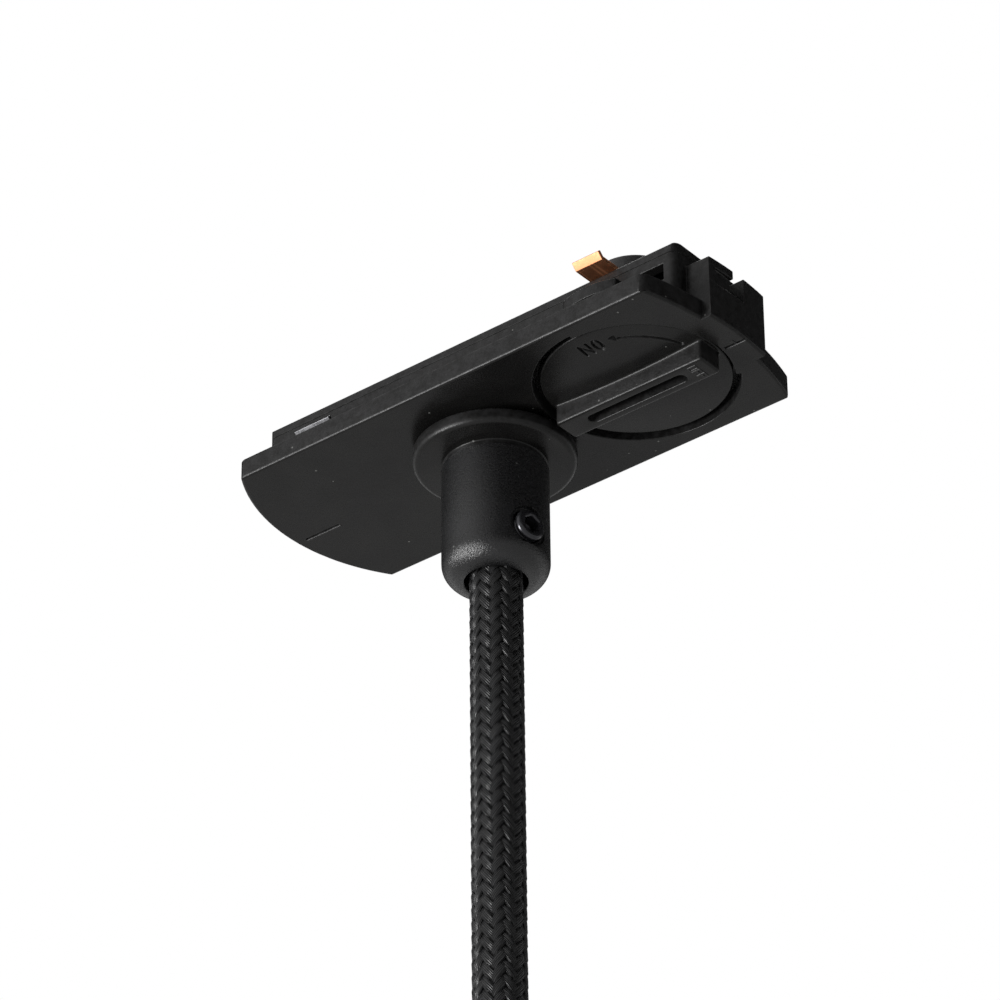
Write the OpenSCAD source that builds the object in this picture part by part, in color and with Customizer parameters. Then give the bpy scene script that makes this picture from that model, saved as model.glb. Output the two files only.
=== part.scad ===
// Track light adapter for one circuit, made for a pendant.
// A moulded plate carries a turning lock knob and a flanged cord outlet.
// The cord hangs straight down and ends in a second cord grip with a threaded nipple.
// Sizes are in millimetres, +Z is up, the plate's top face is at z = 0.
// +X runs from the plain end of the plate to the knob end.

/* [Plate] */
// Length of the plate over its two bowed ends
plate_len = 68.2; // [67:0.1:74]
// Width of the plate across the track
plate_w = 28.6; // [27.4:0.1:31]
// Thickness of the plate
plate_t = 2.6; // [2:0.1:2.8]
// Radius of the bowed plain end
rear_bow_r = 25.5; // [20:0.5:30]
// Radius of the flatter bowed end beside the knob
front_bow_r = 48; // [32:0.5:60]
// Radius of the four corners of the plate
corner_r = 1.4; // [0.8:0.1:2]
// Rounding of the plate's lower edge
edge_r = 0.4; // [0.3:0.1:0.8]
// Length of the moulded line mark near the plain end
mark_len = 5.4; // [3:0.1:6]
// Distance of the marks from the plate's middle line
mark_y = 1.1; // [0:0.1:2]
// Width of the marks
mark_w = 0.4; // [0.3:0.05:0.6]
// Depth of the marks
mark_d = 0.2; // [0.1:0.05:0.3]

/* [Upper body] */
// Width of the body that stands in the track's slot
body_w = 14.6; // [14.4:0.1:15.6]
// Height of the body's walls above the plate
body_h = 7.4; // [6.8:0.1:8]
// Wall of the body
wall_t = 1.4; // [1.2:0.1:1.5]
// Floor of the body
floor_t = 1.2; // [1:0.1:1.4]
// Thickness of the top cover
cover_t = 1.2; // [1:0.1:1.6]
// Width of the end tongue beside the knob
tongue_w = 10.7; // [9:0.1:12]
// How far the tongue stands out beyond the plate's end
tongue_reach = 1.2; // [0.8:0.1:2]
// Height of the tongue above the plate
tongue_h = 5.9; // [5:0.1:6.6]
// Width of the notch in the top of the tongue
notch_w = 2; // [1.4:0.1:2.6]
// Depth of the notch in the top of the tongue
notch_d = 3.4; // [2:0.1:4]

/* [Knob and lock] */
// Distance of the knob's axis from the knob end of the plate
knob_inset = 14.1; // [13.8:0.1:14.6]
// Distance from the knob's axis to the cord's axis
knob_to_cord = 21.6; // [21.2:0.1:22.4]
// Diameter of the knob's disc
disc_d = 22.8; // [22.4:0.1:23.2]
// Rise of the disc's domed face at its middle
dome_h = 0.5; // [0.3:0.05:0.6]
// Length of the grip rib across the knob
rib_len = 21.7; // [19:0.1:21.8]
// Width of the grip rib
rib_w = 3.75; // [3:0.05:4.2]
// Height of the grip rib over the disc's rim
rib_h = 2.8; // [2:0.1:3]
// Rounding of the rib's long edges
rib_edge = 0.35; // [0.2:0.05:0.6]
// Rounding of the rib's two ends
rib_end = 0.5; // [0.2:0.05:1]
// Length of the oblong slot in the rib
rib_slot_len = 14.4; // [10:0.1:16]
// Width of the oblong slot in the rib
rib_slot_w = 1.6; // [1.2:0.1:2]
// Depth of the oblong slot in the rib
rib_slot_d = 1.8; // [1:0.1:2]
// Diameter of the knob's spindle
spindle_d = 9; // [8.4:0.1:9.2]
// Side of the square drive on the spindle
drive_w = 5.6; // [5.2:0.1:5.8]
// Height of the lock wing's underside above the plate
wing_z = 4.2; // [3.8:0.1:4.4]
// Thickness of the lock wing
wing_t = 1.6; // [1.4:0.1:1.6]
// Width of the lock wing
wing_w = 8; // [7.8:0.1:8.4]
// Width of the two contacts
contact_w = 4; // [3:0.1:4.2]
// Thickness of the two contacts
contact_t = 0.6; // [0.5:0.05:0.7]
// Height of the contact turret above the top cover
turret_rise = 3.6; // [3.4:0.1:4.4]

/* [Cord outlet] */
// Diameter of the round flange under the plate
flange_d = 19.9; // [18:0.1:20.2]
// Thickness of the flange
flange_t = 1.9; // [1.4:0.05:2.4]
// Rounding of the flange's lower edge
flange_edge = 0.8; // [0.4:0.1:1]
// Gap between the plate and the flange
flange_gap = 1; // [0.6:0.1:1.4]
// Diameter of the collar that holds the flange off the plate
collar_d = 15; // [13:0.1:16]
// Diameter of the neck between flange and grip
neck_d = 12.4; // [11.6:0.1:12.8]
// Height of the neck
neck_h = 0.85; // [0.6:0.05:2]
// Diameter of the cord grip
grip_d = 13; // [12.6:0.1:15]
// Height of the cord grip
grip_h = 15.6; // [15:0.1:18]
// Radius of the grip's rounded lower edge
grip_round = 2.6; // [1.5:0.1:2.6]
// Diameter of the grip's cord hole
grip_hole_d = 7.55; // [7.4:0.05:7.7]
// Diameter of the thread between outlet and grip
thread_d = 10; // [9.8:0.1:10.2]
// Length of thread inside each grip
thread_len = 6.4; // [5:0.1:6.6]
// Height of the grip screw's axis above the rounded end of the grip
screw_rise = 4.9; // [4.6:0.1:5.4]
// Direction of the grip screw, turned from the knob's side
screw_turn = -12; // [-60:1:60]
// Diameter of the grip screw
screw_d = 4; // [3.6:0.1:4]
// How far the grip screw stands proud of the grip
screw_proud = 0.4; // [0.2:0.1:0.8]
// Hexagon socket of the grip screw across its flats
socket_w = 2; // [1.5:0.1:2]

/* [Cord] */
// Diameter of the braided cord
cord_d = 6.5; // [6.2:0.1:6.8]
// Free cord between the two grips
cord_free = 62; // [50:1:90]
// Diameter of one core
core_d = 1.6; // [1.4:0.1:1.7]
// Length of nipple that stands out of the lamp-end grip
nipple_out = 9.3; // [8:0.1:12]

/* [Hidden] */
// Running gap between faces of the knob and the fixed parts
run_gap = 0.3;
// Radial clearance of turning and screwed fits
fit_gap = 0.05;
// How far a corner's rounding laps over the sides that it joins
corner_lap = 0.01;
// Setback of the body from the plate's two ends
body_setback = 2.5;
// Rounding of the body's upright edges and of the cover's upper edges
body_round = 1.2;
cover_edge = 0.4;
// Skin of plate left over the knob's recess
skin_t = 0.5;
// Places of the two line marks
mark_inset = 1.6;
mark_end = 0.15;
front_mark_len = 3;
// Ring gap round the disc and its wider part
ring_gap = 0.35;
groove_gap = 0.95;
groove_from = 32;
groove_to = 268;
// Step between the floors of the recess and its wider part
groove_step = 0.1;
// Recess of the disc's rim under the plate's face
rim_sink = 0.35;

knob_x = plate_len / 2 - knob_inset;
cord_x = knob_x - knob_to_cord;
body_front = plate_len / 2 - body_setback;
body_rear = -plate_len / 2 + body_setback;
in_front = body_front - wall_t;
in_rear = body_rear + wall_t;
in_w = body_w - 2 * wall_t;
cover_top = body_h + cover_t;
tongue_end = plate_len / 2 + tongue_reach;

recess_r = disc_d / 2 + ring_gap;
groove_r = disc_d / 2 + groove_gap;
rim_z = -plate_t + rim_sink;
disc_top = -skin_t - run_gap;
dome_r = (disc_d * disc_d / 4 + dome_h * dome_h) / (2 * dome_h);
rib_z = rim_z - rib_h;

wing_r = in_front - knob_x - run_gap - 0.1;
wing_top = wing_z + wing_t;
strip_t = 0.4;
strip_over = 1.5;
turret_r = in_w / 2 - strip_t - run_gap;
turret_top = cover_top + turret_rise;
drive_top = wing_top + 1.8;
blade_z = cover_top + 0.8;
leg_out = sqrt(turret_r * turret_r - contact_w * contact_w / 4) - 0.05;
leg_in = leg_out - contact_t;
leg_z = wing_top + 0.4;
head_sink = 2.2;
spindle_screw_z = 0.8;
blade_tip = wing_r - 0.2;
head_seat = turret_top - head_sink;
spindle_screw_d = 3;
spindle_head_d = 5.4;
spindle_head_t = 1.6;
washer_d = 6;
washer_t = 0.5;
washer_gap = 0.1;
screw_gap = 0.1;
cross_w = 0.6;
cross_len = 3;
cross_d = 0.9;
spindle_head_top = head_seat + washer_t + spindle_head_t;
spindle_screw_len = head_seat + washer_t - spindle_screw_z + 0.2;

boss_r = 2.2;
boss_front = knob_x - wing_r - run_gap - 0.1 - boss_r;
boss_rear = in_rear + boss_r - 0.2;
cover_screw_d = 2.4;
cover_head_d = 4.2;
cover_head_t = 0.8;
cover_hole_z = floor_t + 1.2;
cover_screw_z = cover_hole_z + 0.4;
cover_screw_len = cover_top - cover_head_t / 2 - cover_screw_z;
cover_cross_w = 0.5;
cover_cross_len = 2.2;
cover_cross_d = 0.5;

thread_drop = 0.65;
pitch_d = thread_d - thread_drop;
spigot_d = 9.4;
spigot_top = floor_t + 1.6;
bore_d = 7.2;
ring_t = 0.8;
ring_gap_w = 0.2;
ring_w = 1.2;
ring_d = spigot_d + 2 * ring_w;
ring_seat_d = 8.6;
flange_z = -plate_t - flange_gap - flange_t;
grip_top = flange_z - neck_h;
grip_end = grip_top - grip_h;
screw_z = grip_end + screw_rise;
sink_d = screw_d + 1;
sink_t = 0.6;

lamp_top = grip_end - cord_free;
lamp_end = lamp_top - grip_h;
lamp_screw_z = lamp_top - screw_rise;

// Inner pieces: terminals between the side strips and the middle channel of the earth core
terminal_l = 4.4;
terminal_gap = 0.6;
head_t = 0.9;
head_gap = 0.4;
terminal_screw_d = 2.4;
core_rise = 2.5;
core_gap = 0.2;
core_z = floor_t + core_rise;
terminal_top = body_h - head_t - head_gap;
terminal_in = core_d / 2 + core_gap;
terminal_out = in_w / 2 - strip_t;
terminal_y = (terminal_in + terminal_out) / 2;
terminal_w = terminal_out - terminal_in;
head_d = terminal_w - terminal_gap;
phase_x = cord_x - ring_d / 2 - terminal_gap - terminal_l / 2;
// Earth spring beside the rear screw boss, its tips over the track's lips
spring_t = 0.5;
spring_w = 5.5;
spring_gap = 0.3;
spring_over = 1.9;
tip_rise = 0.9;
tip_run = 1;
tip_t = 0.4;
spring_tip = body_w / 2 + spring_over;
earth_x = boss_rear + boss_r + spring_gap + spring_w / 2;

// Half profile of the earth spring, from its seat out over one tip and back
spring_side = [
    [in_w / 2, floor_t],
    [in_w / 2, wing_z],
    [spring_tip - tip_run, wing_z],
    [spring_tip, wing_z + tip_rise],
    [spring_tip - tip_t, wing_z + tip_rise + tip_t],
    [spring_tip - tip_run - tip_t / 2, wing_z + spring_t],
    [in_w / 2 - spring_t, wing_z + spring_t],
    [in_w / 2 - spring_t, floor_t + spring_t]
];

cord_top = floor_t + 0.4;
cord_low = lamp_end + thread_len + 0.6;
cord_route = [for (i = [0:7]) [cord_x, 0, cord_top + (cord_low - cord_top) * i / 7]];
live_route = [
    [cord_x + 0.5, -1, cord_top],
    [cord_x + 0.5, -1, cord_top + 0.6],
    [cord_x + 0.3, -1.4, core_z - 0.5],
    [cord_x - 0.5, -2, core_z],
    [cord_x - 2.5, -2.8, core_z],
    [phase_x + 3, -terminal_y, core_z],
    [phase_x - 1, -terminal_y, core_z]
];
neutral_route = [for (p = live_route) [p[0], -p[1], p[2]]];
earth_route = [
    [cord_x - 1.2, 0, cord_top],
    [cord_x - 1.2, 0, cord_top + 0.6],
    [cord_x - 1.6, 0, core_z - 0.5],
    [cord_x - 2.6, 0, core_z],
    [cord_x - 7, 0, core_z],
    [cord_x - 12, 0, core_z],
    [cord_x - 17, 0, core_z],
    [earth_x - 1, 0, core_z]
];

function unit(v) = v / norm(v);
function along(path, i) =
    unit(path[min(i + 1, len(path) - 1)] - path[max(i - 1, 0)]);

// A round tube along a route, as flat facets, used for the cord and its cores
module tube(path, d, sides) {
    n = len(path);
    points = [
        for (i = [0:n - 1])
            let (t = along(path, i), u = unit(cross([0, 1, 0], t)), v = cross(t, u))
                for (k = [0:sides - 1])
                    path[i] + d / 2 * (cos(360 * k / sides) * u + sin(360 * k / sides) * v)
    ];
    sides_a = [
        for (i = [0:n - 2])
            for (k = [0:sides - 1])
                [i * sides + k, (i + 1) * sides + k, i * sides + (k + 1) % sides]
    ];
    sides_b = [
        for (i = [0:n - 2])
            for (k = [0:sides - 1])
                [(i + 1) * sides + k, (i + 1) * sides + (k + 1) % sides, i * sides + (k + 1) % sides]
    ];
    cap_a = [for (k = [0:sides - 1]) k];
    cap_b = [for (k = [sides - 1:-1:0]) (n - 1) * sides + k];
    polyhedron(points = points, faces = concat(sides_a, sides_b, [cap_a, cap_b]));
}

// What is cut from one plate corner to round it, bow is the end's radius, bow_x its centre
module corner_cut(bow, bow_x, side) {
    fy = plate_w / 2 - corner_r + corner_lap;
    fx = bow_x + side * sqrt(pow(bow - corner_r + corner_lap, 2) - fy * fy);
    to_bow = unit([fx - bow_x, fy]);
    difference() {
        polygon([
            [fx, fy],
            [fx, plate_w / 2 + 1],
            [fx + side * 4, plate_w / 2 + 1],
            [fx + to_bow[0] * (corner_r + 2), fy + to_bow[1] * (corner_r + 2)]
        ]);
        translate([fx, fy])
            circle(r = corner_r, $fn = 48);
    }
}

// Cross-section of a bar of width w and height h that is rounded along its two lower edges
module rounded_bar(w, h, r) {
    translate([-w / 2, r])
        square([w, h - r]);
    translate([-w / 2 + r, 0])
        square([w - 2 * r, h]);
    for (s = [-1, 1])
        translate([s * (w / 2 - r), r])
            circle(r = r, $fn = 48);
}

// A disc of radius r and height h with a rounded lower edge
module rounded_disc(r, h, edge) {
    rotate_extrude($fn = 200)
        intersection() {
            rounded_bar(2 * r, h, edge);
            square([r + 1, h]);
        }
}

// A block of width w and height h from x = x0 to x = x1 with rounded upright edges
module soft_block(x0, x1, w, h, r) {
    linear_extrude(h) {
        translate([x0 + r, -w / 2])
            square([x1 - x0 - 2 * r, w]);
        translate([x0, -w / 2 + r])
            square([x1 - x0, w - 2 * r]);
        for (x = [x0 + r, x1 - r])
            for (s = [-1, 1])
                translate([x, s * (w / 2 - r)])
                    circle(r = r, $fn = 48);
    }
}

// One half of the plate, side -1 towards the plain end and 1 towards the knob end
module plate_half(side, bow) {
    intersection() {
        translate([side < 0 ? -plate_len : 0, 0, 0])
            rotate([90, 0, 90])
                linear_extrude(plate_len)
                    rounded_bar(plate_w, plate_t, edge_r);
        translate([side * (plate_len / 2 - bow), 0, 0])
            rounded_disc(bow, plate_t, edge_r);
    }
}

module plate() {
    difference() {
        union() {
            plate_half(-1, rear_bow_r);
            plate_half(1, front_bow_r);
        }
        for (s = [0, 1])
            mirror([0, s, 0])
                translate([0, 0, -1])
                    linear_extrude(plate_t + 2) {
                        corner_cut(rear_bow_r, rear_bow_r - plate_len / 2, -1);
                        corner_cut(front_bow_r, plate_len / 2 - front_bow_r, 1);
                    }
    }
}

module base() {
    color("#1c1c1d")
        difference() {
            union() {
                translate([0, 0, -plate_t])
                    plate();
                // walls and floor of the body
                difference() {
                    translate([0, 0, -skin_t / 2])
                        soft_block(body_rear, body_front, body_w, body_h + skin_t / 2, body_round);
                    translate([in_rear, -in_w / 2, floor_t])
                        cube([in_front - in_rear, in_w, body_h]);
                    // windows the lock wing turns out through
                    translate([knob_x - wing_r, 0, wing_z - run_gap])
                        cube([wing_r + wing_w / 2 + run_gap, body_w, wing_t + 2 * run_gap]);
                    translate([knob_x - wing_w / 2 - run_gap, -body_w, wing_z - run_gap])
                        cube([wing_r + wing_w / 2 + run_gap, body_w, wing_t + 2 * run_gap]);
                    // windows of the earth spring
                    translate([earth_x - spring_w / 2 - run_gap, -body_w, wing_z - run_gap])
                        cube([spring_w + 2 * run_gap, 2 * body_w, wing_t + 2 * run_gap]);
                }
                // end tongue, bowed like the plate's end
                intersection() {
                    translate([body_front - 1, -tongue_w / 2, -plate_t])
                        cube([tongue_end - body_front + 2, tongue_w, plate_t + tongue_h]);
                    translate([plate_len / 2 - front_bow_r, 0, -plate_t])
                        rounded_disc(front_bow_r + tongue_reach, plate_t + tongue_h, edge_r);
                }
                // bearing boss of the spindle
                translate([knob_x, 0, floor_t / 2])
                    cylinder(d = in_w + 0.4, h = wing_z - run_gap - floor_t / 2, $fn = 96);
                // bosses of the cover screws
                for (x = [boss_rear, boss_front])
                    translate([x, 0, floor_t / 2])
                        cylinder(r = boss_r, h = body_h - floor_t / 2, $fn = 48);
            }
            // recess of the knob with the wider part of its ring gap
            translate([knob_x, 0, -plate_t - 1])
                cylinder(r = recess_r, h = plate_t + 1 - skin_t, $fn = 160);
            translate([knob_x, 0, -plate_t - 1])
                rotate([0, 0, groove_from])
                    rotate_extrude(angle = groove_to - groove_from, $fn = 160)
                        translate([recess_r - 1, 0])
                            square([groove_r - recess_r + 1, plate_t + 1 - skin_t - groove_step]);
            translate([knob_x, 0, -plate_t])
                cylinder(d = spindle_d + 2 * fit_gap, h = plate_t + wing_z, $fn = 72);
            translate([cord_x, 0, -plate_t - 1])
                cylinder(d = spigot_d + 2 * fit_gap, h = plate_t + floor_t + 2, $fn = 72);
            // relief in the side walls for the retaining ring
            translate([cord_x, 0, floor_t])
                cylinder(d = ring_d + 2 * ring_gap_w, h = ring_t + ring_gap_w, $fn = 96);
            for (x = [boss_rear, boss_front])
                translate([x, 0, cover_hole_z])
                    cylinder(d = cover_screw_d + 0.1, h = body_h, $fn = 36);
            // notch and shallow pocket of the tongue
            translate([body_front, -notch_w / 2, tongue_h - notch_d])
                cube([tongue_end - body_front + 1, notch_w, notch_d + 1]);
            translate([tongue_end - 0.5, -tongue_w / 2 + 1.1, tongue_h - notch_d])
                cube([1, tongue_w / 2 - notch_w / 2 - 1.1, 2.2]);
            // moulded line marks near the two ends
            translate([-plate_len / 2 + mark_inset, mark_y - mark_w / 2, -plate_t - 1])
                cube([mark_len, mark_w, 1 + mark_d]);
            translate([tongue_end - mark_end - front_mark_len, mark_y - mark_w / 2, -plate_t - 1])
                cube([front_mark_len, mark_w, 1 + mark_d]);
        }
}

module top_cover() {
    color("#202021")
        difference() {
            intersection() {
                translate([0, 0, body_h])
                    soft_block(body_rear, body_front, body_w, cover_t, body_round);
                translate([body_rear - 1, 0, cover_top])
                    mirror([0, 0, 1])
                        rotate([90, 0, 90])
                            linear_extrude(body_front - body_rear + 2)
                                rounded_bar(body_w, cover_t + 1, cover_edge);
            }
            translate([knob_x, 0, body_h - 1])
                cylinder(r = turret_r + run_gap, h = cover_t + 2, $fn = 96);
            for (x = [boss_rear, boss_front])
                translate([x, 0, body_h - 1]) {
                    cylinder(d = cover_screw_d + 0.1, h = cover_t + 2, $fn = 36);
                    translate([0, 0, 1 + cover_t - cover_head_t])
                        cylinder(d = cover_head_d + 0.2, h = 2, $fn = 48);
                }
        }
}

module cover_screws() {
    color("#b9bcc0")
        for (x = [boss_rear, boss_front])
            translate([x, 0, 0])
                difference() {
                    union() {
                        translate([0, 0, cover_top - cover_head_t])
                            cylinder(d = cover_head_d, h = cover_head_t, $fn = 48);
                        translate([0, 0, cover_screw_z])
                            cylinder(d = cover_screw_d, h = cover_screw_len, $fn = 36);
                    }
                    for (a = [0, 90])
                        rotate([0, 0, a])
                            translate([-cover_cross_len / 2, -cover_cross_w / 2, cover_top - cover_cross_d])
                                cube([cover_cross_len, cover_cross_w, 2 * cover_cross_d]);
                }
}

module knob() {
    color("#1a1a1b")
        translate([knob_x, 0, 0])
            difference() {
                union() {
                    intersection() {
                        translate([0, 0, rim_z - dome_h - 1])
                            cylinder(d = disc_d, h = disc_top - rim_z + dome_h + 1, $fn = 160);
                        translate([0, 0, rim_z - dome_h + dome_r])
                            sphere(r = dome_r, $fn = 160);
                    }
                    intersection() {
                        translate([-rib_len / 2, 0, rib_z])
                            rotate([90, 0, 90])
                                linear_extrude(rib_len)
                                    rounded_bar(rib_w, disc_top - 0.2 - rib_z, rib_edge);
                        translate([0, rib_w, rib_z])
                            rotate([90, 0, 0])
                                linear_extrude(2 * rib_w)
                                    rounded_bar(rib_len, disc_top - 0.2 - rib_z, rib_end);
                    }
                    translate([0, 0, disc_top - 0.4])
                        cylinder(d = spindle_d, h = wing_z - disc_top + 0.4, $fn = 72);
                    translate([-drive_w / 2, -drive_w / 2, wing_z - 0.4])
                        cube([drive_w, drive_w, drive_top - wing_z + 0.4]);
                }
                // oblong slot of the rib
                translate([-rib_slot_len / 2 + rib_slot_w / 2, -rib_slot_w / 2, rib_z - 1])
                    cube([rib_slot_len - rib_slot_w, rib_slot_w, rib_slot_d + 1]);
                for (s = [-1, 1])
                    translate([s * (rib_slot_len - rib_slot_w) / 2, 0, rib_z - 1])
                        cylinder(d = rib_slot_w, h = rib_slot_d + 1, $fn = 36);
                cylinder(d = spindle_screw_d + screw_gap, h = drive_top + 1, $fn = 36);
            }
}

module lock_wing() {
    color("#1f1f20")
        translate([knob_x, 0, wing_z])
            difference() {
                intersection() {
                    cylinder(r = wing_r, h = wing_t, $fn = 120);
                    translate([-wing_w / 2, -wing_r - 1, -1])
                        cube([wing_w, 2 * wing_r + 2, wing_t + 2]);
                }
                translate([-drive_w / 2 - fit_gap, -drive_w / 2 - fit_gap, -1])
                    cube([drive_w + 2 * fit_gap, drive_w + 2 * fit_gap, wing_t + 2]);
            }
}

module turret() {
    color("#232324")
        translate([knob_x, 0, 0])
            difference() {
                translate([0, 0, wing_top])
                    cylinder(r = turret_r, h = turret_top - wing_top, $fn = 96);
                translate([-drive_w / 2 - fit_gap, -drive_w / 2 - fit_gap, wing_top - 1])
                    cube([drive_w + 2 * fit_gap, drive_w + 2 * fit_gap, drive_top - wing_top + 1.1]);
                translate([0, 0, wing_top])
                    cylinder(d = spindle_screw_d + 2 * screw_gap, h = turret_top, $fn = 36);
                translate([0, 0, head_seat])
                    cylinder(d = washer_d + 2 * washer_gap, h = turret_top, $fn = 60);
                for (s = [-1, 1])
                    translate([-contact_w / 2, s < 0 ? -turret_r - 1 : leg_in, leg_z])
                        cube([contact_w, turret_r + 1 - leg_in, blade_z + contact_t - leg_z]);
            }
}

// One bent contact of the turret, side -1 or 1
module contact(side) {
    translate([knob_x, 0, 0])
        mirror([0, side < 0 ? 1 : 0, 0])
            rotate([90, 0, 90])
                translate([0, 0, -contact_w / 2])
                    linear_extrude(contact_w)
                        polygon([
                            [leg_in, leg_z],
                            [leg_out, leg_z],
                            [leg_out, blade_z],
                            [blade_tip - 0.8, blade_z],
                            [blade_tip, blade_z + 0.8],
                            [blade_tip - 0.4, blade_z + 1.2],
                            [blade_tip - 1, blade_z + contact_t],
                            [leg_in, blade_z + contact_t]
                        ]);
}

module live_contact() {
    color("#b9743f")
        contact(-1);
}

module neutral_contact() {
    color("#b9743f")
        contact(1);
}

module spindle_washer() {
    color("#a9adb2")
        translate([knob_x, 0, head_seat])
            difference() {
                cylinder(d = washer_d, h = washer_t, $fn = 60);
                translate([0, 0, -1])
                    cylinder(d = spindle_screw_d + 2 * screw_gap, h = washer_t + 2, $fn = 36);
            }
}

module spindle_screw() {
    color("#b9bcc0")
        translate([knob_x, 0, 0])
            difference() {
                union() {
                    translate([0, 0, head_seat + washer_t])
                        cylinder(d = spindle_head_d, h = spindle_head_t, $fn = 60);
                    translate([0, 0, spindle_screw_z])
                        cylinder(d = spindle_screw_d, h = spindle_screw_len, $fn = 36);
                }
                for (a = [0, 90])
                    rotate([0, 0, a])
                        translate([-cross_len / 2, -cross_w / 2, spindle_head_top - cross_d])
                            cube([cross_len, cross_w, 2 * cross_d]);
            }
}

module outlet() {
    color("#1c1c1d")
        translate([cord_x, 0, 0])
            difference() {
                union() {
                    translate([0, 0, flange_z])
                        rounded_disc(flange_d / 2, flange_t, flange_edge);
                    translate([0, 0, flange_z + flange_t - 0.2])
                        cylinder(d = collar_d, h = flange_gap + 0.2, $fn = 96);
                    translate([0, 0, grip_top])
                        cylinder(d = neck_d, h = neck_h + 0.2, $fn = 96);
                    translate([0, 0, grip_top - thread_len])
                        cylinder(d = pitch_d, h = thread_len + 0.2, $fn = 96);
                    translate([0, 0, flange_z + 0.2])
                        cylinder(d = spigot_d, h = spigot_top - flange_z - 0.2, $fn = 72);
                }
                translate([0, 0, grip_top - thread_len - 1])
                    cylinder(d = bore_d, h = 40, $fn = 72);
                translate([0, 0, floor_t])
                    difference() {
                        cylinder(d = spigot_d + 2, h = ring_t, $fn = 72);
                        translate([0, 0, -1])
                            cylinder(d = ring_seat_d, h = ring_t + 2, $fn = 72);
                    }
            }
}

module outlet_ring() {
    color("#8d9196")
        translate([cord_x, 0, floor_t])
            difference() {
                cylinder(d = ring_d, h = ring_t, $fn = 72);
                translate([0, 0, -1])
                    cylinder(d = ring_seat_d, h = ring_t + 2, $fn = 72);
                translate([0, -1, -1])
                    cube([ring_d, 2, ring_t + 2]);
            }
}

// A cord grip that stands on its rounded end at z = 0, screw side towards +X
module grip_body() {
    difference() {
        rotate_extrude($fn = 120)
            union() {
                translate([0, grip_round])
                    square([grip_d / 2, grip_h - grip_round]);
                square([grip_d / 2 - grip_round, grip_h]);
                translate([grip_d / 2 - grip_round, grip_round])
                    circle(r = grip_round, $fn = 72);
            }
        translate([0, 0, -1])
            cylinder(d = grip_hole_d, h = grip_h + 2, $fn = 72);
        translate([0, 0, grip_h - thread_len])
            cylinder(d = pitch_d + 2 * fit_gap, h = thread_len + 1, $fn = 96);
        translate([0, 0, screw_rise])
            rotate([0, 90, 0])
                cylinder(d = screw_d + 0.1, h = grip_d, $fn = 48);
        translate([grip_d / 2 - sink_t, 0, screw_rise])
            rotate([0, 90, 0])
                cylinder(d = sink_d, h = grip_d, $fn = 48);
    }
}

// The grip's grub screw along +X, its tip on the cord
module grip_grub() {
    reach = grip_d / 2 + screw_proud;
    difference() {
        translate([cord_d / 2 - 0.15, 0, 0])
            rotate([0, 90, 0])
                rotate_extrude($fn = 48)
                    polygon([
                        [0, 0],
                        [screw_d / 2 - 0.5, 0],
                        [screw_d / 2, 0.5],
                        [screw_d / 2, reach - cord_d / 2 - 0.2],
                        [screw_d / 2 - 0.35, reach - cord_d / 2 + 0.15],
                        [0, reach - cord_d / 2 + 0.15]
                    ]);
        translate([reach - 1.8, 0, 0])
            rotate([0, 90, 0])
                cylinder(d = socket_w / cos(30), h = 4, $fn = 6);
    }
}

module cord_grip() {
    color("#1b1b1c")
        translate([cord_x, 0, grip_end])
            rotate([0, 0, screw_turn])
                grip_body();
}

module grip_screw() {
    color("#2a2a2c")
        translate([cord_x, 0, screw_z])
            rotate([0, 0, screw_turn])
                grip_grub();
}

module cord() {
    color("#161617")
        tube(cord_route, cord_d, 12);
}

module live_core() {
    color("#6a4630")
        tube(live_route, core_d, 8);
}

module neutral_core() {
    color("#3a62a8")
        tube(neutral_route, core_d, 8);
}

module earth_core() {
    color("#7f9a3c")
        tube(earth_route, core_d, 8);
}

// One conductor strip on a side wall, side -1 or 1
module strip(side) {
    translate([0, side < 0 ? -in_w / 2 + strip_t : in_w / 2, 0])
        rotate([90, 0, 0])
            linear_extrude(strip_t)
                polygon([
                    [phase_x - terminal_l / 2, floor_t],
                    [phase_x + terminal_l / 2, floor_t],
                    [phase_x + terminal_l / 2, wing_top + run_gap],
                    [knob_x + strip_over, wing_top + run_gap],
                    [knob_x + strip_over, body_h],
                    [phase_x - terminal_l / 2, body_h]
                ]);
}

module live_strip() {
    color("#b9743f")
        strip(-1);
}

module neutral_strip() {
    color("#b9743f")
        strip(1);
}

module earth_spring() {
    color("#c6c9cc")
        translate([earth_x - spring_w / 2, 0, 0])
            rotate([90, 0, 90])
                linear_extrude(spring_w)
                    polygon(concat(spring_side, [for (i = [len(spring_side) - 1:-1:0])
                        [-spring_side[i][0], spring_side[i][1]]]));
}

// One brass terminal, its seat at height z, width w across the body
module terminal(x, y, z, w) {
    translate([x, y, 0])
        difference() {
            translate([-terminal_l / 2, -w / 2, z])
                cube([terminal_l, w, terminal_top - z]);
            translate([-terminal_l, 0, core_z])
                rotate([0, 90, 0])
                    cylinder(d = core_d + core_gap, h = 2 * terminal_l, $fn = 36);
            translate([0, 0, core_z])
                cylinder(d = terminal_screw_d + 2 * fit_gap, h = terminal_top, $fn = 36);
        }
}

module terminals() {
    color("#c2a35c") {
        terminal(phase_x, -terminal_y, floor_t, terminal_w);
        terminal(phase_x, terminal_y, floor_t, terminal_w);
        terminal(earth_x, 0, floor_t + spring_t, terminal_w);
    }
}

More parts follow.
